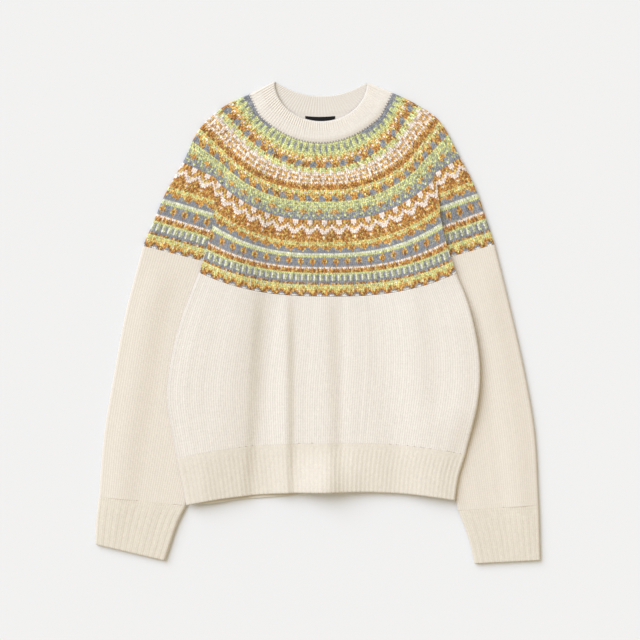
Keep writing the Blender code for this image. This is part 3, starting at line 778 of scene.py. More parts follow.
class KnitMesh:
    """Collects points, faces and stitch attributes, then makes one mesh object."""

    def __init__(self, name: str):
        self.name = name
        self.points: list[np.ndarray] = []
        self.depths: list[np.ndarray] = []
        self.total = 0
        self.loops: list[np.ndarray] = []
        self.sizes: list[np.ndarray] = []
        self.bake_uv: list[np.ndarray] = []
        self.stitch_uv: list[np.ndarray] = []
        self.yarn: list[np.ndarray] = []
        self.tone: list[np.ndarray] = []

    def add_points(self, points: np.ndarray, depth: np.ndarray) -> np.ndarray:
        """Add points in millimetres, with how far each stands from groove to crest, which sets the painted
        shade of its colour.
        """
        shape = points.shape[:-1]
        count = int(np.prod(shape))
        self.points.append(points.reshape(count, 3))
        self.depths.append(np.broadcast_to(depth, shape).reshape(count))
        index = np.arange(self.total, self.total + count).reshape(shape)
        self.total += count
        return index

    def add_faces(self, corners, bake_uv, stitch_uv, yarn, tone) -> None:
        """Add faces that all have the same number of corners."""
        corners = np.asarray(corners)
        faces, size = corners.shape
        self.loops.append(corners.reshape(-1))
        self.sizes.append(np.full(faces, size))
        self.bake_uv.append(np.asarray(bake_uv, dtype=float).reshape(-1, 2))
        self.stitch_uv.append(np.asarray(stitch_uv, dtype=float).reshape(-1, 2))
        self.yarn.append(np.broadcast_to(yarn, (faces,)).astype(float))
        self.tone.append(np.broadcast_to(tone, (faces,)).astype(float))

    def add_grid(self, index: np.ndarray, across: np.ndarray, along: np.ndarray,
                 stitch: np.ndarray, patch: Patch, coat: Coat) -> None:
        """Add the quads between rows of points that all have the same count.

        Args:
            index: Point indices, rows by columns.
            across: Share of each column.
            along: Share of each row.
            stitch: Stitch coordinates of each point.
            patch: Place in the bake's UV map.
            coat: Yarn and tone of each quad, rows by columns.
        """
        uv = patch.place(np.broadcast_to(across, index.shape),
                         np.broadcast_to(along[:, None], index.shape))
        self.add_faces(quads(index).reshape(-1, 4), quads(uv), quads(stitch), coat.yarn.reshape(-1),
                       coat.tone.reshape(-1))

    def zip_lines(self, a: Line, b: Line, stitches: float, levels=(0.0, 1.0), rows=(0.0, 1.0),
                  patch: Patch = RIM_PATCH, yarn_at=cream) -> None:
        """Join two lines of points that may differ in count with triangles.

        Args:
            a: First line.
            b: Second line.
            stitches: Stitches along the whole line.
            levels: Share along the patch of each line.
            rows: Row coordinate of each line.
            patch: Place in the bake's UV map.
            yarn_at: Function from the share along the line to a yarn index.
        """
        corners, uv, stitch, yarn = [], [], [], []
        i = j = 0
        while i < len(a.index) - 1 or j < len(b.index) - 1:
            step_a = j == len(b.index) - 1 or (
                i < len(a.index) - 1 and a.share[i + 1] <= b.share[j + 1])
            third = (a.index[i + 1], a.share[i + 1], 0) if step_a else (b.index[j + 1], b.share[j + 1], 1)
            trio = ((a.index[i], a.share[i], 0), (b.index[j], b.share[j], 1), third)
            if len({item[0] for item in trio}) == 3:
                corners.append([item[0] for item in trio])
                uv.append([patch.place(item[1], levels[item[2]]) for item in trio])
                stitch.append([(item[1] * stitches, rows[item[2]]) for item in trio])
                yarn.append(yarn_at(sum(item[1] for item in trio) / 3.0))
            if step_a:
                i += 1
            else:
                j += 1
        self.add_faces(corners, uv, stitch, np.array(yarn), MID_TONE)

    def build(self, material: bpy.types.Material) -> bpy.types.Object:
        """Make the object in metres, with its UV maps and attributes."""
        mesh = bpy.data.meshes.new(self.name)
        points = np.concatenate(self.points) * MM
        loops = np.concatenate(self.loops)
        sizes = np.concatenate(self.sizes)
        mesh.vertices.add(len(points))
        mesh.vertices.foreach_set("co", points.astype(np.float32).reshape(-1))
        mesh.loops.add(len(loops))
        mesh.loops.foreach_set("vertex_index", loops.astype(np.int32))
        mesh.polygons.add(len(sizes))
        starts = np.concatenate([[0], np.cumsum(sizes)[:-1]])
        mesh.polygons.foreach_set("loop_start", starts.astype(np.int32))
        mesh.update(calc_edges=True)
        for name, data in (("OFBake", self.bake_uv), ("stitch", self.stitch_uv)):
            layer = mesh.uv_layers.new(name=name)
            layer.uv.foreach_set("vector", np.concatenate(data).astype(np.float32).reshape(-1))
        for name, data, domain in (("yarn", self.yarn, "FACE"), ("tone", self.tone, "FACE"),
                                   ("depth", self.depths, "POINT")):
            layer = mesh.attributes.new(name, "FLOAT", domain)
            layer.data.foreach_set("value", np.concatenate(data).astype(np.float32))
        self.face_outwards(mesh)
        mesh.shade_smooth()
        mesh.set_sharp_from_angle(angle=math.radians(SHARP_ANGLE))
        mesh.materials.append(material)
        piece = bpy.data.objects.new(self.name, mesh)
        bpy.context.scene.collection.objects.link(piece)
        return piece

    @staticmethod
    def face_outwards(mesh: bpy.types.Mesh) -> None:
        """Turn every face of the closed mesh outwards."""
        work = bmesh.new()
        work.from_mesh(mesh)
        bmesh.ops.recalc_face_normals(work, faces=work.faces[:])
        work.to_mesh(mesh)
        work.free()


class Rib(Enum):
    """Rib profiles: heights over one repeat of half wales, from purl valley to knit crest."""

    PLAIN = (0.0,)
    SINGLE = (0.5, 1.0, 0.5, 0.0)
    DOUBLE = (0.55, 1.0, 0.86, 1.0, 0.55, 0.0)

    def height(self, columns: np.ndarray) -> np.ndarray:
        """Height share at half-wale columns."""
        profile = np.array(self.value)
        return profile[columns % len(profile)]


@dataclass(frozen=True)
class KnitPlan:
    """How one piece is knitted: its tiers, halves, ribs, open ends and the painted shade of its grooves,
    folds and edges.
    """

    tiers: tuple
    halves: tuple = (True, False)
    rib: Rib = Rib.PLAIN
    rib_height: float = 0.0
    rib_ease_rows: float = 3.0
    open_end: bool = False
    open_start: bool = False
    inside_rib: bool = False
    first_fold_shade: float = 0.0
    edge_shade: float = 0.0
    row_shade: float = 0.08
    rib_shade: float = 0.35
    seed: int = 1


class KnittedPiece:
    """Knits one piece over a form: stitched outer halves, a plainer inside and closed rims."""

    def __init__(self, name: str, form, plan: KnitPlan):
        self.name = name
        self.form = form
        self.plan = plan
        self.mesh = KnitMesh(name)
        self.random = np.random.default_rng(plan.seed)
        self.rows = sum(tier.rows for tier in plan.tiers)

    def sampled(self, upper: bool, shares: np.ndarray, part: str, across: np.ndarray) -> np.ndarray:
        """Points of the form's outer or inner part, at shares of its length and of its width."""
        grid = []
        for share in shares:
            line = getattr(self.form.section(float(share), upper), part)
            lengths = lengths_along(line)
            grid.append(read_line(line, lengths, across * lengths[-1]))
        return np.array(grid)

    @staticmethod
    def normals(grid: np.ndarray, upper: bool) -> np.ndarray:
        """Outward normals of a grid of points."""
        along = np.gradient(grid, axis=0)
        across = np.gradient(grid, axis=1)
        found = unit(np.cross(across, along))
        wanted = 1.0 if upper else -1.0
        middle = found[len(found) // 2, found.shape[1] // 2, 2]
        return found if middle * wanted > 0 else -found

    def knit(self, material: bpy.types.Material) -> bpy.types.Object:
        """Build the whole piece."""
        outer, inner = {}, {}
        for upper in self.plan.halves:
            outer[upper] = self.knit_outside(upper, outer.get(True))
        for upper in self.plan.halves:
            inner[upper] = self.knit_inside(upper, inner.get(True))
        for upper in self.plan.halves:
            for end, row in ((0, 0), (-1, self.rows - 1)):
                self.mesh.zip_lines(outer[upper][end], inner[upper][end], self.plan.tiers[end].stitches,
                                    yarn_at=self.chart_reader(row))
        if len(self.plan.halves) == 1:
            only = self.plan.halves[0]
            for side in (0, -1):
                self.mesh.zip_lines(self.side_line(outer[only], side), self.side_line(inner[only], side),
                                    self.rows)
        return self.mesh.build(material)

    @staticmethod
    def side_line(lines: list[Line], side: int) -> Line:
        """Points of a half along the middle of one side fold."""
        return Line(np.array([line.index[side] for line in lines]), np.linspace(0, 1, len(lines)))

    def chart_reader(self, row: int):
        """Function from a share across a row to its yarn index."""
        for tier in self.plan.tiers:
            if row < tier.rows:
                break
            row -= tier.rows
        line = tier.chart[row % len(tier.chart)]
        return lambda share: YARN_INDEX[line[int(share * tier.stitches) % len(line)]]

    def knit_outside(self, upper: bool, partner) -> list[Line]:
        """Stitches of one outer half; the partner is the upper half, whose folds it shares."""
        patch = UPPER_PATCH if upper else LOWER_PATCH
        columns_per_stitch = 2 if upper else 1
        lines: list[Line] = []
        done, above = 0, None
        for number, tier in enumerate(self.plan.tiers):
            steps = 2 * tier.rows
            shares = (done + np.arange(steps + 1) / 2.0) / self.rows
            across = np.linspace(0.0, 1.0, columns_per_stitch * tier.stitches + 1)
            last = number == len(self.plan.tiers) - 1
            grid = self.sampled(upper, shares, "outer", across)
            points, depth = self.stitched(grid, upper, tier, number == 0, last)
            kept = steps + 1 if last else steps
            rows = (2 * done + np.arange(kept)) / 2.0
            index = self.place_points(points[:kept], depth[:kept], partner, 2 * done)
            self.mesh.add_grid(index, across, shares[:kept], pairs(across * tier.stitches, rows), patch,
                               self.coat(tier, kept - 1, columns_per_stitch))
            if above is not None:
                self.mesh.zip_lines(lines[-1], Line(index[0], across), tier.stitches, (above[0], shares[0]),
                                    (above[1], rows[0]), patch, self.chart_reader(done - 1))
            above = (shares[kept - 1], (2 * done + kept - 1) / 2.0)
            lines.extend(Line(row, across) for row in index)
            done += tier.rows
        return lines

    def place_points(self, points: np.ndarray, depth: np.ndarray, partner, first_row: int) -> np.ndarray:
        """Add a grid of points; where a partner is given, its fold points are used at both sides."""
        if partner is None:
            return self.mesh.add_points(points, depth)
        index = np.empty(points.shape[:2], dtype=int)
        index[:, 1:-1] = self.mesh.add_points(points[:, 1:-1], depth[:, 1:-1])
        for row in range(len(points)):
            index[row, 0] = partner[first_row + row].index[0]
            index[row, -1] = partner[first_row + row].index[-1]
        return index

    def stitched(self, grid: np.ndarray, upper: bool, tier: Tier, first: bool, last: bool) -> tuple:
        """Stitch relief on a grid of base points: V-shaped rows, wales and ribs."""
        steps, columns = grid.shape[0] - 1, grid.shape[1]
        plan = self.plan
        normal = self.normals(grid, upper)
        row, column = np.arange(steps + 1)[:, None], np.arange(columns)[None, :]
        level = np.ones((steps + 1, columns))
        points = grid.copy()
        if upper:
            odd = slice(1, None, 2)
            points[1:steps - 1, odd] = grid[2:steps, odd]
            points[steps - 1, odd] = (grid[steps - 1, odd] + grid[steps, odd]) / 2.0
            normal[1:steps - 1, odd] = normal[2:steps, odd]
        crest_row = (row % 2) * level
        crest_wale = (column % 2) * level if upper else 0.5 * level
        rib = plan.rib.height(column if upper else 2 * column) * level
        from_seam = (steps - row if plan.open_start else row) / 2.0
        rib_ease = smoothstep((from_seam + 0.5) / plan.rib_ease_rows)
        # Depth sets painted shade: darker in the gaps between rows and wales, and past 1 on the crests of a
        # high-contrast tier, a painted highlight
        depth = plan.row_shade * crest_row + (1.0 - plan.row_shade) * crest_wale
        depth = MID_DEPTH + tier.stitch_contrast * (depth - MID_DEPTH)
        if upper:
            height = ROW_RELIEF * (2 * crest_row - 1) + WALE_RELIEF * (2 * crest_wale - 1)
            height = height + plan.rib_height * rib * rib_ease
        else:
            height = -UNDERSIDE_RELIEF * (1.0 - depth)
            if plan.rib is not Rib.PLAIN:
                height = height - plan.rib_height * UNDERSIDE_RIB_SHARE * (1.0 - rib) * rib_ease
        height[:, [0, -1]] = 0.0
        # Painted shade in the rib's purl valleys, eased in from the seam
        if plan.rib is not Rib.PLAIN:
            depth = depth + plan.rib_shade * (rib - depth) * rib_ease
        # Painted shade tones down the bright edge of the lit first fold
        if upper and plan.first_fold_shade:
            depth = depth - plan.first_fold_shade * smoothstep(1.0 - column / FOLD_SHADE_COLUMNS)
        rounding = EDGE_ROUNDING if upper else EDGE_ROUNDING / 2.0
        # Painted shade on a lit open edge, and a set depth of painted shade at a joined end of a lower half
        for end, is_end, is_open in ((0, first, plan.open_start), (-1, last, plan.open_end)):
            if is_open and is_end:
                height[end] -= rounding
                depth[end] -= plan.edge_shade
            elif is_end and not upper:
                depth[end] = JOIN_DEPTH
        return points + normal * height[:, :, None], depth

    def coat(self, tier: Tier, rows: int, columns_per_stitch: int) -> Coat:
        """Yarn and tone of each quad of a tier."""
        chart = np.array([[YARN_INDEX[line[stitch % len(line)]] for stitch in range(tier.stitches)]
                          for line in (tier.chart[row % len(tier.chart)] for row in range(tier.rows))])
        for row, start, end, letter in tier.overlays:
            chart[row, int(start * tier.stitches):int(end * tier.stitches)] = YARN_INDEX[letter]
        tone = self.random.normal(MID_TONE, STITCH_SPREAD * tier.stitch_contrast, chart.shape) \
            + self.random.normal(0.0, WALE_SPREAD, tier.stitches)
        chart, tone = (np.repeat(np.repeat(grid, 2, axis=0), columns_per_stitch, axis=1)[:rows]
                       for grid in (chart, tone))
        draw = self.random.random(chart.shape)
        marled = chart.copy()
        for letter, others in MARLS.items():
            reached = 0.0
            for other, share in others:
                chosen = (chart == YARN_INDEX[letter]) & (draw >= reached) & (draw < reached + share)
                marled[chosen] = YARN_INDEX[other]
                reached += share
        return Coat(marled, tone + self.random.normal(0.0, FLECK_SPREAD * tier.stitch_contrast, tone.shape))

    def knit_inside(self, upper: bool, partner) -> list[Line]:
        """Inner surface of one half; plain, or ribbed where the neck's inside shows."""
        ribbed = self.plan.inside_rib and not upper
        stitches = self.plan.tiers[0].stitches
        columns = 4 * NECK_RIBS_BACK if ribbed else max(stitches // 3, 12)
        steps = 2 * self.rows if ribbed else max(self.rows // 4, 6)
        across = np.linspace(0.0, 1.0, columns + 1)
        shares = np.linspace(0.0, 1.0, steps + 1)
        grid = self.sampled(upper, shares, "inner", across)
        # Painted shade of the inside, deeper on its lit open edge and in the neck's inner rib
        depth = np.full(grid.shape[:2], INSIDE_DEPTH)
        depth[0] -= self.plan.edge_shade
        if ribbed:
            rib = Rib.SINGLE.height(np.arange(columns + 1))[None, :]
            crest = (np.arange(steps + 1)[:, None] % 2).astype(float)
            depth = INSIDE_DEPTH * rib + INSIDE_CREST_SHARE * crest * rib - INSIDE_RIB_DROP
            fade = smoothstep((1.0 - shares[:, None]) * INSIDE_RIB_EASE)
            height = (NECK_RIB_HEIGHT * rib + ROW_RELIEF * (crest - 0.5)) * fade
            height[:, [0, -1]] = 0.0
            height[0] -= EDGE_ROUNDING / 2.0
            grid = grid + np.array([0.0, 0.0, 1.0]) * height[:, :, None]
        uneven = partner is not None and len(partner) != steps + 1
        index = self.place_points(grid, depth, None if uneven else partner, 0)
        if uneven:
            for end in (0, -1):
                index[end, [0, -1]] = partner[end].index[[0, -1]]
        plain = np.zeros((steps, columns))
        if ribbed:
            plain[-2:, 1::4] = YARN_INDEX["h"]
        self.mesh.add_grid(index, across, shares, pairs(across * stitches, shares * self.rows),
                           INNER_UPPER_PATCH if upper else INNER_LOWER_PATCH, Coat(plain, plain + MID_TONE))
        if uneven:
            for side in (0, -1):
                self.mesh.zip_lines(self.side_line(partner, side), Line(index[:, side], shares), self.rows,
                                    (0.0, 0.0), (0.0, 0.0))
        return [Line(row, across) for row in index]


def linear(colour: str) -> tuple:
    """Linear colour of an sRGB hex string."""
    channels = [int(colour[i:i + 2], 16) / 255.0 for i in (1, 3, 5)]
    return tuple(c / 12.92 if c <= 0.04045 else ((c + 0.055) / 1.055) ** 2.4 for c in channels) + (1.0,)


@dataclass(frozen=True)
class KnitFinish:
    """Numbers of a knitted yarn's look; without a colour, each stitch takes its yarn's."""

    name: str
    slot: str
    colour: str | None = None
    heather: float = 0.025
    # groove and leg_groove paint shade into the colour, in the grooves between stitches and between the legs
    # of a stitch
    groove: float = 0.20
    leg_groove: float = 0.10
    tone: float = 0.05


# Sizes of wool's fibres and of its cloudy tone in mm, and how it takes light
FIBRE_SIZE = 1.1
FIBRE_DETAIL = 3.0
FIBRE_ROUGHNESS = 0.65
CLOUD_SIZE = 38.0
CLOUD_DETAIL = 2.0
WOOL_ROUGHNESS = 0.92
WOOL_SHEEN = 0.15
WOOL_SHEEN_ROUGHNESS = 0.55
WOOL_BUMP = 0.4
WOOL_BUMP_DEPTH = 0.5

# Lowest part of a leg's bulge between rows, turns of the ply, and the shares that twist and fibre add
LEG_LOW = 0.55
TWIST_LEAN = 0.35
TWIST_TURNS = 3.0
TWIST_SHARE = 0.07
FIBRE_SHARE = 0.35


class NodeBoard:
    """Adds shader nodes to one material, with their settings and links."""

    def __init__(self, name: str):
        self.material = bpy.data.materials.new(name)
        self.material.use_nodes = True
        self.tree = self.material.node_tree
        self.shader = self.tree.nodes["Principled BSDF"]

    def add(self, kind: str, inputs: dict | None = None, **settings):
        """Add one node.

        Args:
            kind: Blender's node type.
            inputs: Socket name or number to a value or to another node's output.
            **settings: Properties of the node.

        Returns:
            The node.
        """
        node = self.tree.nodes.new(kind)
        for key, value in settings.items():
            setattr(node, key, value)
        for key, value in (inputs or {}).items():
            self.feed(node.inputs[key], value)
        return node

    def feed(self, socket, value) -> None:
        """Give a socket a value or a link."""
        if isinstance(value, bpy.types.NodeSocket):
            self.tree.links.new(value, socket)
        else:
            socket.default_value = value

    def math(self, operation: str, a, b=0.0):
        """Output of one maths node."""
        return self.add("ShaderNodeMath", {0: a, 1: b}, operation=operation).outputs[0]

    def product(self, *values):
        """Product of numbers or outputs."""
        result = values[0]
        for value in values[1:]:
            result = self.math("MULTIPLY", result, value)
        return result

    def attribute(self, name: str):
        """Value of one of the mesh's own attributes."""
        return self.add("ShaderNodeAttribute", attribute_name=name).outputs["Fac"]

    def constant(self, colour: str):
        """A plain colour, given as sRGB hex."""
        output = self.add("ShaderNodeRGB").outputs[0]
        output.default_value = linear(colour)
        return output

    def wave(self, operand):
        """Sine of an output, without its sign."""
        return self.math("ABSOLUTE", self.math("SINE", operand))

    def noise(self, scale: float, detail: float, roughness: float = 0.5):
        """Noise over the object, at a scale in lumps to the metre."""
        place = self.add("ShaderNodeTexCoord").outputs["Object"]
        return self.add("ShaderNodeTexNoise", {"Vector": place, "Scale": scale, "Detail": detail,
                                               "Roughness": roughness}).outputs["Fac"]

    def finish(self, colour, height=None, strength: float = 0.0, distance: float = 0.0,
               **shader) -> bpy.types.Material:
        """Give the shader its colour, relief and other inputs.

        Args:
            colour: Output that carries the base colour.
            height: Output that carries the relief, if there is any.
            strength: Strength of the relief.
            distance: Depth of the relief in metres.
            **shader: Other inputs, with _ for a space in their names.

        Returns:
            The finished material.
        """
        self.feed(self.shader.inputs["Base Color"], colour)
        if height is not None:
            bump = self.add("ShaderNodeBump", {"Height": height, "Strength": strength, "Distance": distance})
            self.feed(self.shader.inputs["Normal"], bump.outputs["Normal"])
        for name, value in shader.items():
            self.feed(self.shader.inputs[name.replace("_", " ")], value)
        return self.material

    def span(self, value, low: float, high: float):
        """A value from 0 to 1 spread from low to high."""
        return self.add("ShaderNodeMapRange", {"Value": value, "To Min": low, "To Max": high},
                        clamp=False).outputs[0]

    def times(self, colour, factor):
        """Colour multiplied by a number."""
        return self.add("ShaderNodeVectorMath", {0: colour, 1: factor}, operation="MULTIPLY").outputs[0]


def knit_material(finish: KnitFinish) -> bpy.types.Material:
    """Yarn in stocking stitch or rib, with a bump of its raised legs and painted shade between them.

    Args:
        finish: The numbers of the look.

    Returns:
        The material.
    """
    board = NodeBoard(finish.name)
    stitch = board.add("ShaderNodeUVMap", uv_map="stitch").outputs["UV"]
    parts = board.add("ShaderNodeSeparateXYZ", {0: stitch}).outputs
    leg = board.wave(board.product(parts["X"], 2.0 * math.pi))
    row = board.wave(board.product(parts["Y"], math.pi))
    bulge = board.math("POWER", board.product(leg, board.span(row, LEG_LOW, 1.0)), 0.5)
    fibre = board.noise(1.0 / (FIBRE_SIZE * MM), FIBRE_DETAIL, FIBRE_ROUGHNESS)
    cloudy = board.noise(1.0 / (CLOUD_SIZE * MM), CLOUD_DETAIL)
    if finish.colour is None:
        middle = board.math("DIVIDE", board.math("ADD", board.attribute("yarn"), 0.5), float(len(YARNS)))
        ramp = board.add("ShaderNodeValToRGB", {"Fac": middle})
        fill_ramp(ramp.color_ramp)
        colour = ramp.outputs["Color"]
    else:
        colour = board.constant(finish.colour)
    # Painted shade: the colour darkens with the depth attribute and between the legs, and depth above 1
    # gives a painted highlight; tone, fibre and cloud are random tone
    shade = board.product(
        board.span(board.attribute("tone"), 1.0 - finish.tone, 1.0 + finish.tone),
        board.span(fibre, 1.0 - finish.heather, 1.0 + finish.heather),
        board.span(cloudy, 1.0 - finish.heather / 2.0, 1.0 + finish.heather / 2.0),
        board.span(board.attribute("depth"), 1.0 - finish.groove, 1.0),
        board.span(bulge, 1.0 - finish.leg_groove, 1.0))
    turns = board.math("ADD", board.product(leg, TWIST_LEAN), board.product(parts["Y"], TWIST_TURNS))
    twist = board.math("SINE", board.product(turns, 2.0 * math.pi))
    strands = board.math("ADD", board.product(twist, TWIST_SHARE), board.product(fibre, FIBRE_SHARE))
    return board.finish(
        board.times(colour, shade), board.math("ADD", bulge, strands), WOOL_BUMP, WOOL_BUMP_DEPTH * MM,
        Roughness=WOOL_ROUGHNESS, Sheen_Weight=WOOL_SHEEN, Sheen_Roughness=WOOL_SHEEN_ROUGHNESS)


def fill_ramp(ramp) -> None:
    """Constant ramp with one stop for each yarn."""
    ramp.interpolation = "CONSTANT"
    while len(ramp.elements) < len(YARNS):
        ramp.elements.new(0.5)
    for index, yarn in enumerate(YARNS):
        ramp.elements[index].position = index / len(YARNS)
        ramp.elements[index].color = linear(yarn.colour)


# Soft undyed wool of the body and its rib, which reads pale and a little warm
BODY_WOOL = KnitFinish("undyed_cream_wool", "plain_knit", "#EBE3D6")
HEM_WOOL = KnitFinish("undyed_cream_wool_rib", "rib_knit", "#DFD6C6", groove=0.06)
# The sleeves and cuffs, a shade deeper than the body
SLEEVE_WOOL = KnitFinish("undyed_cream_wool_sleeve", "plain_knit", "#E7DDCD", groove=0.16, tone=0.03)
CUFF_WOOL = KnitFinish("undyed_cream_wool_cuff", "rib_knit", "#E4DAC8", groove=0.16)
# The neck's close rib in the yoke's own cream, with little painted shade in its grooves, which keeps it pale
NECK_WOOL = KnitFinish("undyed_cream_wool_neck", "rib_knit", groove=0.10)
# Stranded wool of the yoke: deeper painted shade in the grooves lets the bands read as separate stitches
YOKE_WOOL = KnitFinish("stranded_dyed_wool", "colourwork_knit", heather=0.06, groove=0.30,
                       leg_groove=0.20, tone=0.28)

# The label's satin: its threads in mm and their unevenness, the weave's painted light from dark to bright,
# and how deep it is
SATIN_COLOUR = "#0F0C0E"
WARP_PITCH = 2.4
WEFT_PITCH = 1.6
THREAD_DISTORTION = 0.6
WEAVE_DARK = 0.7
WEAVE_BRIGHT = 1.5
WEAVE_BUMP = 0.4
WEAVE_DEPTH = 0.15
SATIN_ROUGHNESS = 0.7
SATIN_SPECULAR = 0.2

# The paper: its tone, and the lumps to the metre by which that varies a little
PAPER_COLOUR = "#DEDEDD"
PAPER_LUMPS = 6.0
PAPER_DETAIL = 3.0
PAPER_MOTTLE = 0.005
PAPER_ROUGHNESS = 0.95


def satin_material() -> bpy.types.Material:
    """Black woven satin of the label: a fine weave whose threads carry a painted sheen in their colour, over
    a low gloss.
    """
    board = NodeBoard("black_woven_satin")
    place = board.add("ShaderNodeTexCoord").outputs["Object"]
    threads = [board.add("ShaderNodeTexWave", {"Vector": place, "Scale": 1.0 / (pitch * MM),
                                               "Distortion": THREAD_DISTORTION},
                         wave_type="BANDS", bands_direction=direction).outputs["Fac"]
               for pitch, direction in ((WARP_PITCH, "X"), (WEFT_PITCH, "Y"))]
    weave = board.product(*threads)
    # Painted sheen: the colour runs from dark to bright with the weave
    colour = board.times(board.constant(SATIN_COLOUR), board.span(weave, WEAVE_DARK, WEAVE_BRIGHT))
    return board.finish(colour, weave, WEAVE_BUMP, WEAVE_DEPTH * MM, Roughness=SATIN_ROUGHNESS,
                        Specular_IOR_Level=SATIN_SPECULAR)


def paper_material() -> bpy.types.Material:
    """Matt pale paper under the garment, with a barely uneven tone."""
    board = NodeBoard("matt_pale_paper")
    mottle = board.span(board.noise(PAPER_LUMPS, PAPER_DETAIL), 1.0 - PAPER_MOTTLE, 1.0 + PAPER_MOTTLE)
    return board.finish(board.times(board.constant(PAPER_COLOUR), mottle), Roughness=PAPER_ROUGHNESS)


class Label:
    """Plain woven label under the back neck's seam."""

    COLUMNS = 24
    ROWS = 6

    def build(self) -> bpy.types.Object:
        """A thin closed tab with rounded long edges."""
        seam = yoke_line(0.0, True)[:, :2]
        lengths = lengths_along(seam)
        at = np.linspace(LABEL_SHARE_FROM, LABEL_SHARE_TO, self.COLUMNS + 1) * lengths[-1]
        top = read_line(seam, lengths, at) - np.array([0.0, LABEL_DROP])
        low = WALL + SEAM_GAP
        mesh = KnitMesh("woven_tab")
        along = np.linspace(0.0, 1.0, self.ROWS + 1)
        across = np.linspace(0.0, 1.0, self.COLUMNS + 1)
        plan = top[None, :, :] - np.stack([np.zeros_like(along), along * LABEL_DEPTH], axis=1)[:, None, :]
        bulge = LABEL_THICK * (1.0 - np.abs(2.0 * along - 1.0) ** LABEL_SQUARENESS)[:, None] \
            + np.zeros((1, len(across)))
        upper = np.concatenate([plan, (low + np.maximum(bulge, LABEL_EDGE))[:, :, None]], axis=2)
        lower = np.concatenate([plan, np.full((*plan.shape[:2], 1), low)], axis=2)
        plain = Coat(np.zeros((self.ROWS, self.COLUMNS)), np.full((self.ROWS, self.COLUMNS), MID_TONE))
        grids = []
        for points, patch in ((upper, UPPER_PATCH), (lower, LOWER_PATCH)):
            grids.append(mesh.add_points(points, 1.0))
            mesh.add_grid(grids[-1], across, along, pairs(across, along), patch, plain)
        for edge in (np.s_[0], np.s_[-1], np.s_[:, 0], np.s_[:, -1]):
            a, b = (grid[edge] for grid in grids)
            share = np.linspace(0.0, 1.0, len(a))
            mesh.zip_lines(Line(a, share), Line(b, share), 1.0)
        return mesh.build(satin_material())


class Cut(NamedTuple):
    """Flat size of a knitted piece in metres, and its area, which is less where it tapers."""

    width: float
    length: float
    area: float


class Part(NamedTuple):
    """One knitted piece: the CAD node it replaces, its form, its plan, its wool and its cut."""

    node: str
    form: object
    plan: KnitPlan
    wool: KnitFinish
    cut: Cut


FRONT_ONLY, BACK_ONLY = (True,), (False,)
HEM_PLAN = KnitPlan(HEM_TIERS, rib=Rib.SINGLE, rib_height=HEM_RIB_HEIGHT, open_end=True)
CUFF_PLAN = KnitPlan(CUFF_TIERS, rib=Rib.DOUBLE, rib_height=CUFF_RIB_HEIGHT, rib_ease_rows=6.0,
                     rib_shade=0.15, open_end=True)
PARTS = (
    Part("yoke", YokeForm(), KnitPlan(YOKE_TIERS, row_shade=0.45, seed=11), YOKE_WOOL,
         Cut(1.0, 0.24, 0.220)),
    Part("neckband", NeckbandForm(),
         KnitPlan(NECK_TIERS, rib=Rib.SINGLE, rib_height=NECK_RIB_HEIGHT, rib_shade=0.5, row_shade=0.1,
                  open_start=True, inside_rib=True, first_fold_shade=2.4, edge_shade=2.0, seed=12),
         NECK_WOOL, Cut(0.48, 0.035, 0.0155)),
    Part("front_body", BodyForm(BODY_ROWS), KnitPlan(BODY_TIERS, FRONT_ONLY, first_fold_shade=0.6, seed=13),
         BODY_WOOL, Cut(0.45, 0.27, 0.101)),
    Part("back_body", BodyForm(BODY_ROWS), KnitPlan(BODY_TIERS, BACK_ONLY, seed=14), BODY_WOOL,
         Cut(0.45, 0.27, 0.100)),
    Part("hem_front", BodyForm(HEM_ROWS, mouth=True),
         replace(HEM_PLAN, halves=FRONT_ONLY, rib_ease_rows=4.0, first_fold_shade=0.8, seed=15), HEM_WOOL,
         Cut(0.41, 0.07, 0.0285)),
    Part("hem_back", BodyForm(HEM_ROWS, drop=BACK_HEM_DROP), replace(HEM_PLAN, halves=BACK_ONLY, seed=16),
         HEM_WOOL, Cut(0.41, 0.072, 0.0290)),
    Part("sleeve_left", SleeveForm(SLEEVE_A_ROWS, -1), KnitPlan(SLEEVE_TIERS, seed=17), SLEEVE_WOOL,
         Cut(0.27, 0.36, 0.0965)),
    Part("sleeve_right", SleeveForm(SLEEVE_B_ROWS, 1), KnitPlan(SLEEVE_TIERS, seed=18), SLEEVE_WOOL,
         Cut(0.25, 0.36, 0.0890)),
    Part("cuff_left", SleeveForm(CUFF_A_ROWS, -1, cuff=True), replace(CUFF_PLAN, seed=19), CUFF_WOOL,
         Cut(0.25, 0.075, 0.0184)),
    Part("cuff_right", SleeveForm(CUFF_B_ROWS, 1, cuff=True), replace(CUFF_PLAN, seed=20), CUFF_WOOL,
         Cut(0.23, 0.08, 0.0175)),
)
LABEL_CUT = Cut(0.042, 0.012, 0.00036)


class Jumper:
    """The whole garment: knits each piece, then hands it to the frame."""

    def build(self) -> None:
        """Build every piece in place of its CAD node."""
        materials = {wool.name: knit_material(wool)
                     for wool in (BODY_WOOL, SLEEVE_WOOL, HEM_WOOL, CUFF_WOOL, NECK_WOOL, YOKE_WOOL)}
        for part in PARTS:
            piece = KnittedPiece(f"knit_{part.node}", part.form, part.plan).knit(materials[part.wool.name])
            self.hand_in(piece, part.node, part.wool.slot, part.cut)
        self.hand_in(Label().build(), "label", "woven_label", LABEL_CUT)

    @staticmethod
    def hand_in(piece: bpy.types.Object, node: str, slot: str, cut: Cut) -> None:
        """Parent a piece to the root body and hide the CAD node that it replaces."""
        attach(piece, "root")
        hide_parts(node)
        LOG.info("%s: %d faces", piece.name, len(piece.data.polygons))


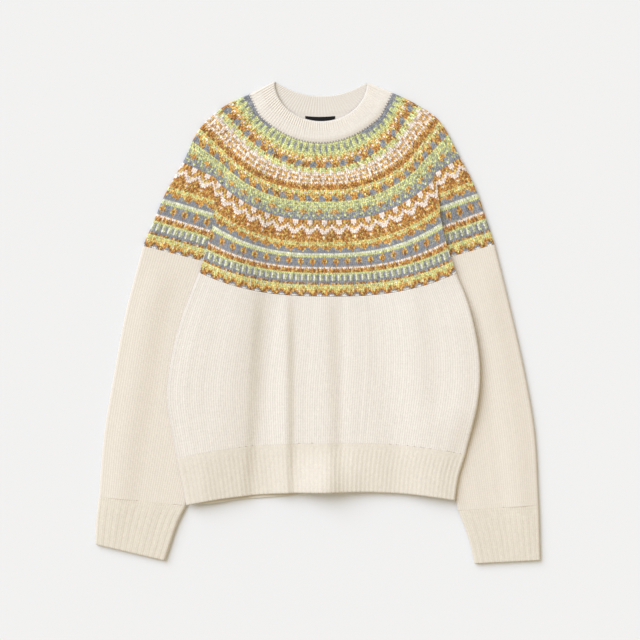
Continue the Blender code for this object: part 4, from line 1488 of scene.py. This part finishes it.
class Studio:
    """Pale surface, soft light from the upper left, and a camera straight above."""

    MM_PER_PIXEL = 1.45
    PIXELS = 640
    LENS = 85.0
    SENSOR = 36.0
    VIEW_X = 3.3
    VIEW_Y = 3.6
    FLOOR_HALF = 4.0
    KEY_ENERGY = 3.64
    KEY_COLOUR = (0.716, 0.806, 1.0)
    KEY_SPREAD = 50.0
    KEY_TURN = (-34.0, -40.0, 0.0)
    FILL_COLOUR = (1.0, 0.893, 0.690, 1.0)
    FILL_STRENGTH = 0.685
    BACKDROP_COLOUR = (0.86, 0.86, 0.85, 1.0)

    def build(self) -> None:
        """Set the floor, lights, world and camera."""
        self.floor()
        self.light()
        self.camera()
        bpy.context.scene.view_settings.view_transform = "Standard"

    def floor(self) -> None:
        """Large flat surface under the garment."""
        mesh = bpy.data.meshes.new("surface")
        half = self.FLOOR_HALF
        mesh.from_pydata([(-half, -half, 0), (half, -half, 0), (half, half, 0), (-half, half, 0)], [],
                         [(0, 1, 2, 3)])
        mesh.materials.append(paper_material())
        surface = bpy.data.objects.new("surface", mesh)
        bpy.context.scene.collection.objects.link(surface)

    def light(self) -> None:
        """Broad, slightly cool key from the upper left and a warm, even fill."""
        sun = bpy.data.lights.new("window_key", "SUN")
        sun.energy = self.KEY_ENERGY
        sun.angle = math.radians(self.KEY_SPREAD)
        sun.color = self.KEY_COLOUR
        key = bpy.data.objects.new("window_key", sun)
        key.rotation_euler = [math.radians(angle) for angle in self.KEY_TURN]
        bpy.context.scene.collection.objects.link(key)
        world = bpy.data.worlds.new("even_fill")
        world.use_nodes = True
        nodes, links = world.node_tree.nodes, world.node_tree.links
        fill = nodes["Background"]
        fill.inputs["Color"].default_value = self.FILL_COLOUR
        fill.inputs["Strength"].default_value = self.FILL_STRENGTH
        plain = nodes.new("ShaderNodeBackground")
        plain.inputs["Color"].default_value = self.BACKDROP_COLOUR
        choose = nodes.new("ShaderNodeMixShader")
        links.new(nodes.new("ShaderNodeLightPath").outputs["Is Camera Ray"], choose.inputs[0])
        links.new(fill.outputs[0], choose.inputs[1])
        links.new(plain.outputs[0], choose.inputs[2])
        links.new(choose.outputs[0], nodes["World Output"].inputs["Surface"])
        bpy.context.scene.world = world

    def camera(self) -> None:
        """Camera above the middle of the picture, looking straight down."""
        data = bpy.data.cameras.new("overhead")
        data.lens = self.LENS
        data.sensor_width = self.SENSOR
        width = self.MM_PER_PIXEL * self.PIXELS * MM
        camera = bpy.data.objects.new("overhead", data)
        camera.location = (self.VIEW_X * MM, self.VIEW_Y * MM, width * self.LENS / self.SENSOR)
        bpy.context.scene.collection.objects.link(camera)
        bpy.context.scene.camera = camera


def main() -> None:
    """Build the looks."""
    logging.basicConfig(level=logging.INFO)
    Studio().build()
    Jumper().build()
    bpy.context.view_layer.update()


if __name__ == "__main__":
    main()
